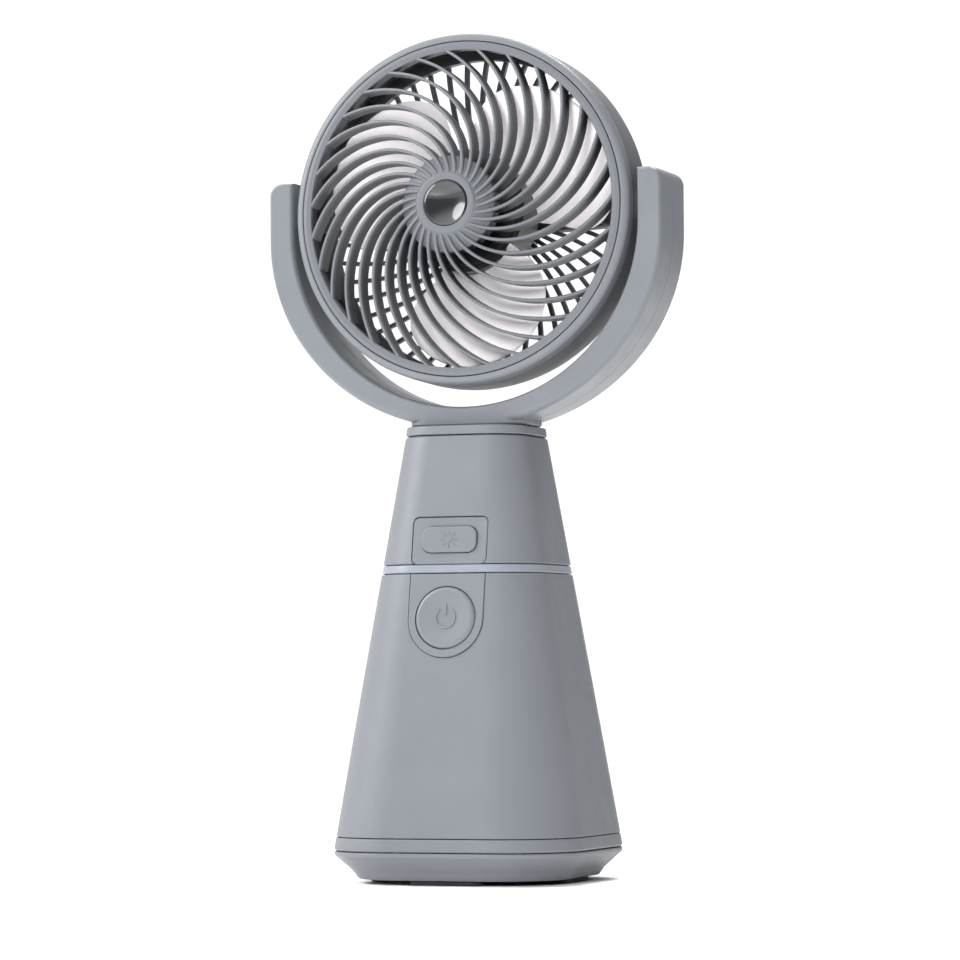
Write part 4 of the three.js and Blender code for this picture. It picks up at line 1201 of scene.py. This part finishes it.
def charge_socket():
    low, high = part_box("charge_socket")
    middle = (low + high) / 2
    place = Matrix.Translation((middle.x, low.y, middle.z))
    shape = rounded_rectangle(4.5 * MM, 1.6 * MM, 1.5 * MM)
    shell = new_object("charge_socket_looks", moved(stack(shape, [(0, 0), (0, high.y - low.y)]), place))
    hollow = rounded_rectangle(4.15 * MM, 1.25 * MM, 1.15 * MM)
    boolean(shell, "DIFFERENCE", moved(stack(hollow, [(0, 2.5 * MM), (0, 10 * MM)]), place))
    finish_piece(shell, "tower", "steel", steel, "charge_socket")
    tongue = rounded_rectangle(3.3 * MM, 0.35 * MM, 0.3 * MM)
    levels = [(0, 2.5 * MM), (0, 7.6 * MM), (0.2 * MM, 7.9 * MM)]
    insert = new_object("charge_socket_tongue", moved(stack(tongue, levels), place))
    finish_piece(insert, "tower", "dark_plastic", dark_plastic)


# -------------------- nodes that keep their CAD mesh

CARRIED_NODES = {
    acetal: ["swivel_bush"],
    dark_plastic: ["battery_tray"],
    cell_wrap: ["battery_cell_1", "battery_cell_2"],
    cable_sheath: ["battery_lead"],
    solder_mask: ["main_board", "led_board", "button_board"],
    lamination: ["motor_stator", "motor_rotor"],
    steel: [
        "power_switch",
        "light_switch",
        "swivel_spindle",
        "swivel_washer",
        "swivel_clip",
        "tilt_pin_left",
        "tilt_pin_right",
        "motor_case",
        "motor_bearing_front",
        "motor_bearing_rear",
        "motor_shaft",
        "impeller_nut",
    ],
}


def carried_nodes():
    for material, names in CARRIED_NODES.items():
        for name in names:
            mesh = frame["nodes"][name].data
            mesh.materials.clear()
            mesh.materials.append(material)


# -------------------- stage, light and camera

MIDDLE = (cad_box[0] + cad_box[1]) / 2
WORLD_DIM = 0.25
WORLD_WHITE = 1.12
WORLD_TOP = 2.0


def floor():
    size = 6.0
    ground = new_object("floor", box((-size, -size, -0.01), (size, size, -0.0001)))
    material, tree, shader = new_material("floor_white", 0.9)
    shader.inputs["Specular IOR Level"].default_value = 0.1
    tint(tree, shader, noise(tree, 3, 2), (0.93, 0.93, 0.93), (0.95, 0.95, 0.95))
    ground.data.materials.append(material)


def soft_light(name, azimuth, elevation, distance, size, power, reflected=True):
    """A round softbox aimed at the fan. Azimuth 0 is in front of it and grows towards +X."""
    a, e = math.radians(azimuth), math.radians(elevation)
    out = Vector((math.sin(a) * math.cos(e), -math.cos(a) * math.cos(e), math.sin(e)))
    data = bpy.data.lights.new(name, "AREA")
    data.shape = "DISK"
    data.size = size
    data.energy = power
    light = bpy.data.objects.new(name, data)
    light.location = MIDDLE + out * distance
    light.rotation_mode = "QUATERNION"
    light.rotation_quaternion = out.to_track_quat("Z", "Y")
    light.visible_camera = False
    light.visible_glossy = reflected
    scene.collection.objects.link(light)


def ramp_of(tree, direction, first, last, low, high):
    """A world brightness that goes from low to high as the view turns towards a direction."""
    place = tree.nodes.new("ShaderNodeTexCoord")
    towards = tree.nodes.new("ShaderNodeVectorMath")
    towards.operation = "DOT_PRODUCT"
    towards.inputs[1].default_value = direction
    mapper = tree.nodes.new("ShaderNodeMapRange")
    mapper.interpolation_type = "SMOOTHSTEP"
    mapper.inputs["From Min"].default_value = first
    mapper.inputs["From Max"].default_value = last
    mapper.inputs["To Min"].default_value = low
    mapper.inputs["To Max"].default_value = high
    tree.links.new(place.outputs["Generated"], towards.inputs[0])
    tree.links.new(towards.outputs["Value"], mapper.inputs["Value"])
    return mapper.outputs["Result"]


def world_light():
    """Studio surroundings: white behind the fan and overhead, dim in front and to the sides."""
    world = bpy.data.worlds.new("studio")
    scene.world = world
    world.use_nodes = True
    tree = world.node_tree
    shader = tree.nodes["Background"]
    backdrop = math.radians(60)
    away = (-math.sin(backdrop), math.cos(backdrop), 0)
    behind = ramp_of(tree, away, 0.2, 0.66, WORLD_DIM, WORLD_WHITE)
    overhead = ramp_of(tree, (-0.35, 0, 0.94), 0.4, 0.9, WORLD_DIM, WORLD_TOP)
    brightest = tree.nodes.new("ShaderNodeMath")
    brightest.operation = "MAXIMUM"
    tree.links.new(behind, brightest.inputs[0])
    tree.links.new(overhead, brightest.inputs[1])
    tree.links.new(brightest.outputs["Value"], shader.inputs["Strength"])
    shader.inputs["Color"].default_value = (1, 1, 1, 1)


CAMERA_AZIMUTH = math.radians(20)
CAMERA_DISTANCE = 1.764
CAMERA_HEIGHT = 88.1 * MM
CAMERA_PITCH = math.radians(2.59)
CAMERA_ROLL = math.radians(-0.37)
CAMERA_ASIDE = 1.2 * MM  # the camera aims this far to the right of the fan's axis
CAMERA_LENS = 157.5


def camera():
    data = bpy.data.cameras.new("camera")
    data.lens = CAMERA_LENS
    data.sensor_width = 36
    thing = bpy.data.objects.new("camera", data)
    right = Vector((math.cos(CAMERA_AZIMUTH), math.sin(CAMERA_AZIMUTH), 0))
    back = Vector((math.sin(CAMERA_AZIMUTH), -math.cos(CAMERA_AZIMUTH), 0))
    thing.location = back * CAMERA_DISTANCE + right * CAMERA_ASIDE + Vector((0, 0, CAMERA_HEIGHT))
    turn = Matrix.Rotation(CAMERA_AZIMUTH, 4, "Z")
    pitch = Matrix.Rotation(math.pi / 2 + CAMERA_PITCH, 4, "X")
    roll = Matrix.Rotation(CAMERA_ROLL, 4, "Z")
    thing.rotation_mode = "QUATERNION"
    thing.rotation_quaternion = (turn @ pitch @ roll).to_quaternion()
    scene.collection.objects.link(thing)
    scene.camera = thing


# -------------------- the whole scene

camera()
scene.view_settings.view_transform = "Standard"

base_pan()
base_skirt()
feet()
lower_housing()
light_ring()
upper_housing()
neck_collar()
control_plate("power_plate_looks", lower_pad_outline, power_mouth(), "power_plate")
control_plate("light_plate_looks", upper_pad_outline, light_mouth(), "light_plate")
power_button()
light_button()
charge_socket()
yoke_shells()
tilt_washers()
front_ring()
head_barrel()
front_grille()
hub_insert()
rear_grille()
impeller()
screws()
carried_nodes()

floor()
world_light()
soft_light("key_left", -62, 30, 1.3, 0.75, 10)
soft_light("front", 8, 12, 1.6, 0.45, 22, reflected=False)
soft_light("top_back", 165, 62, 1.3, 0.5, 10)
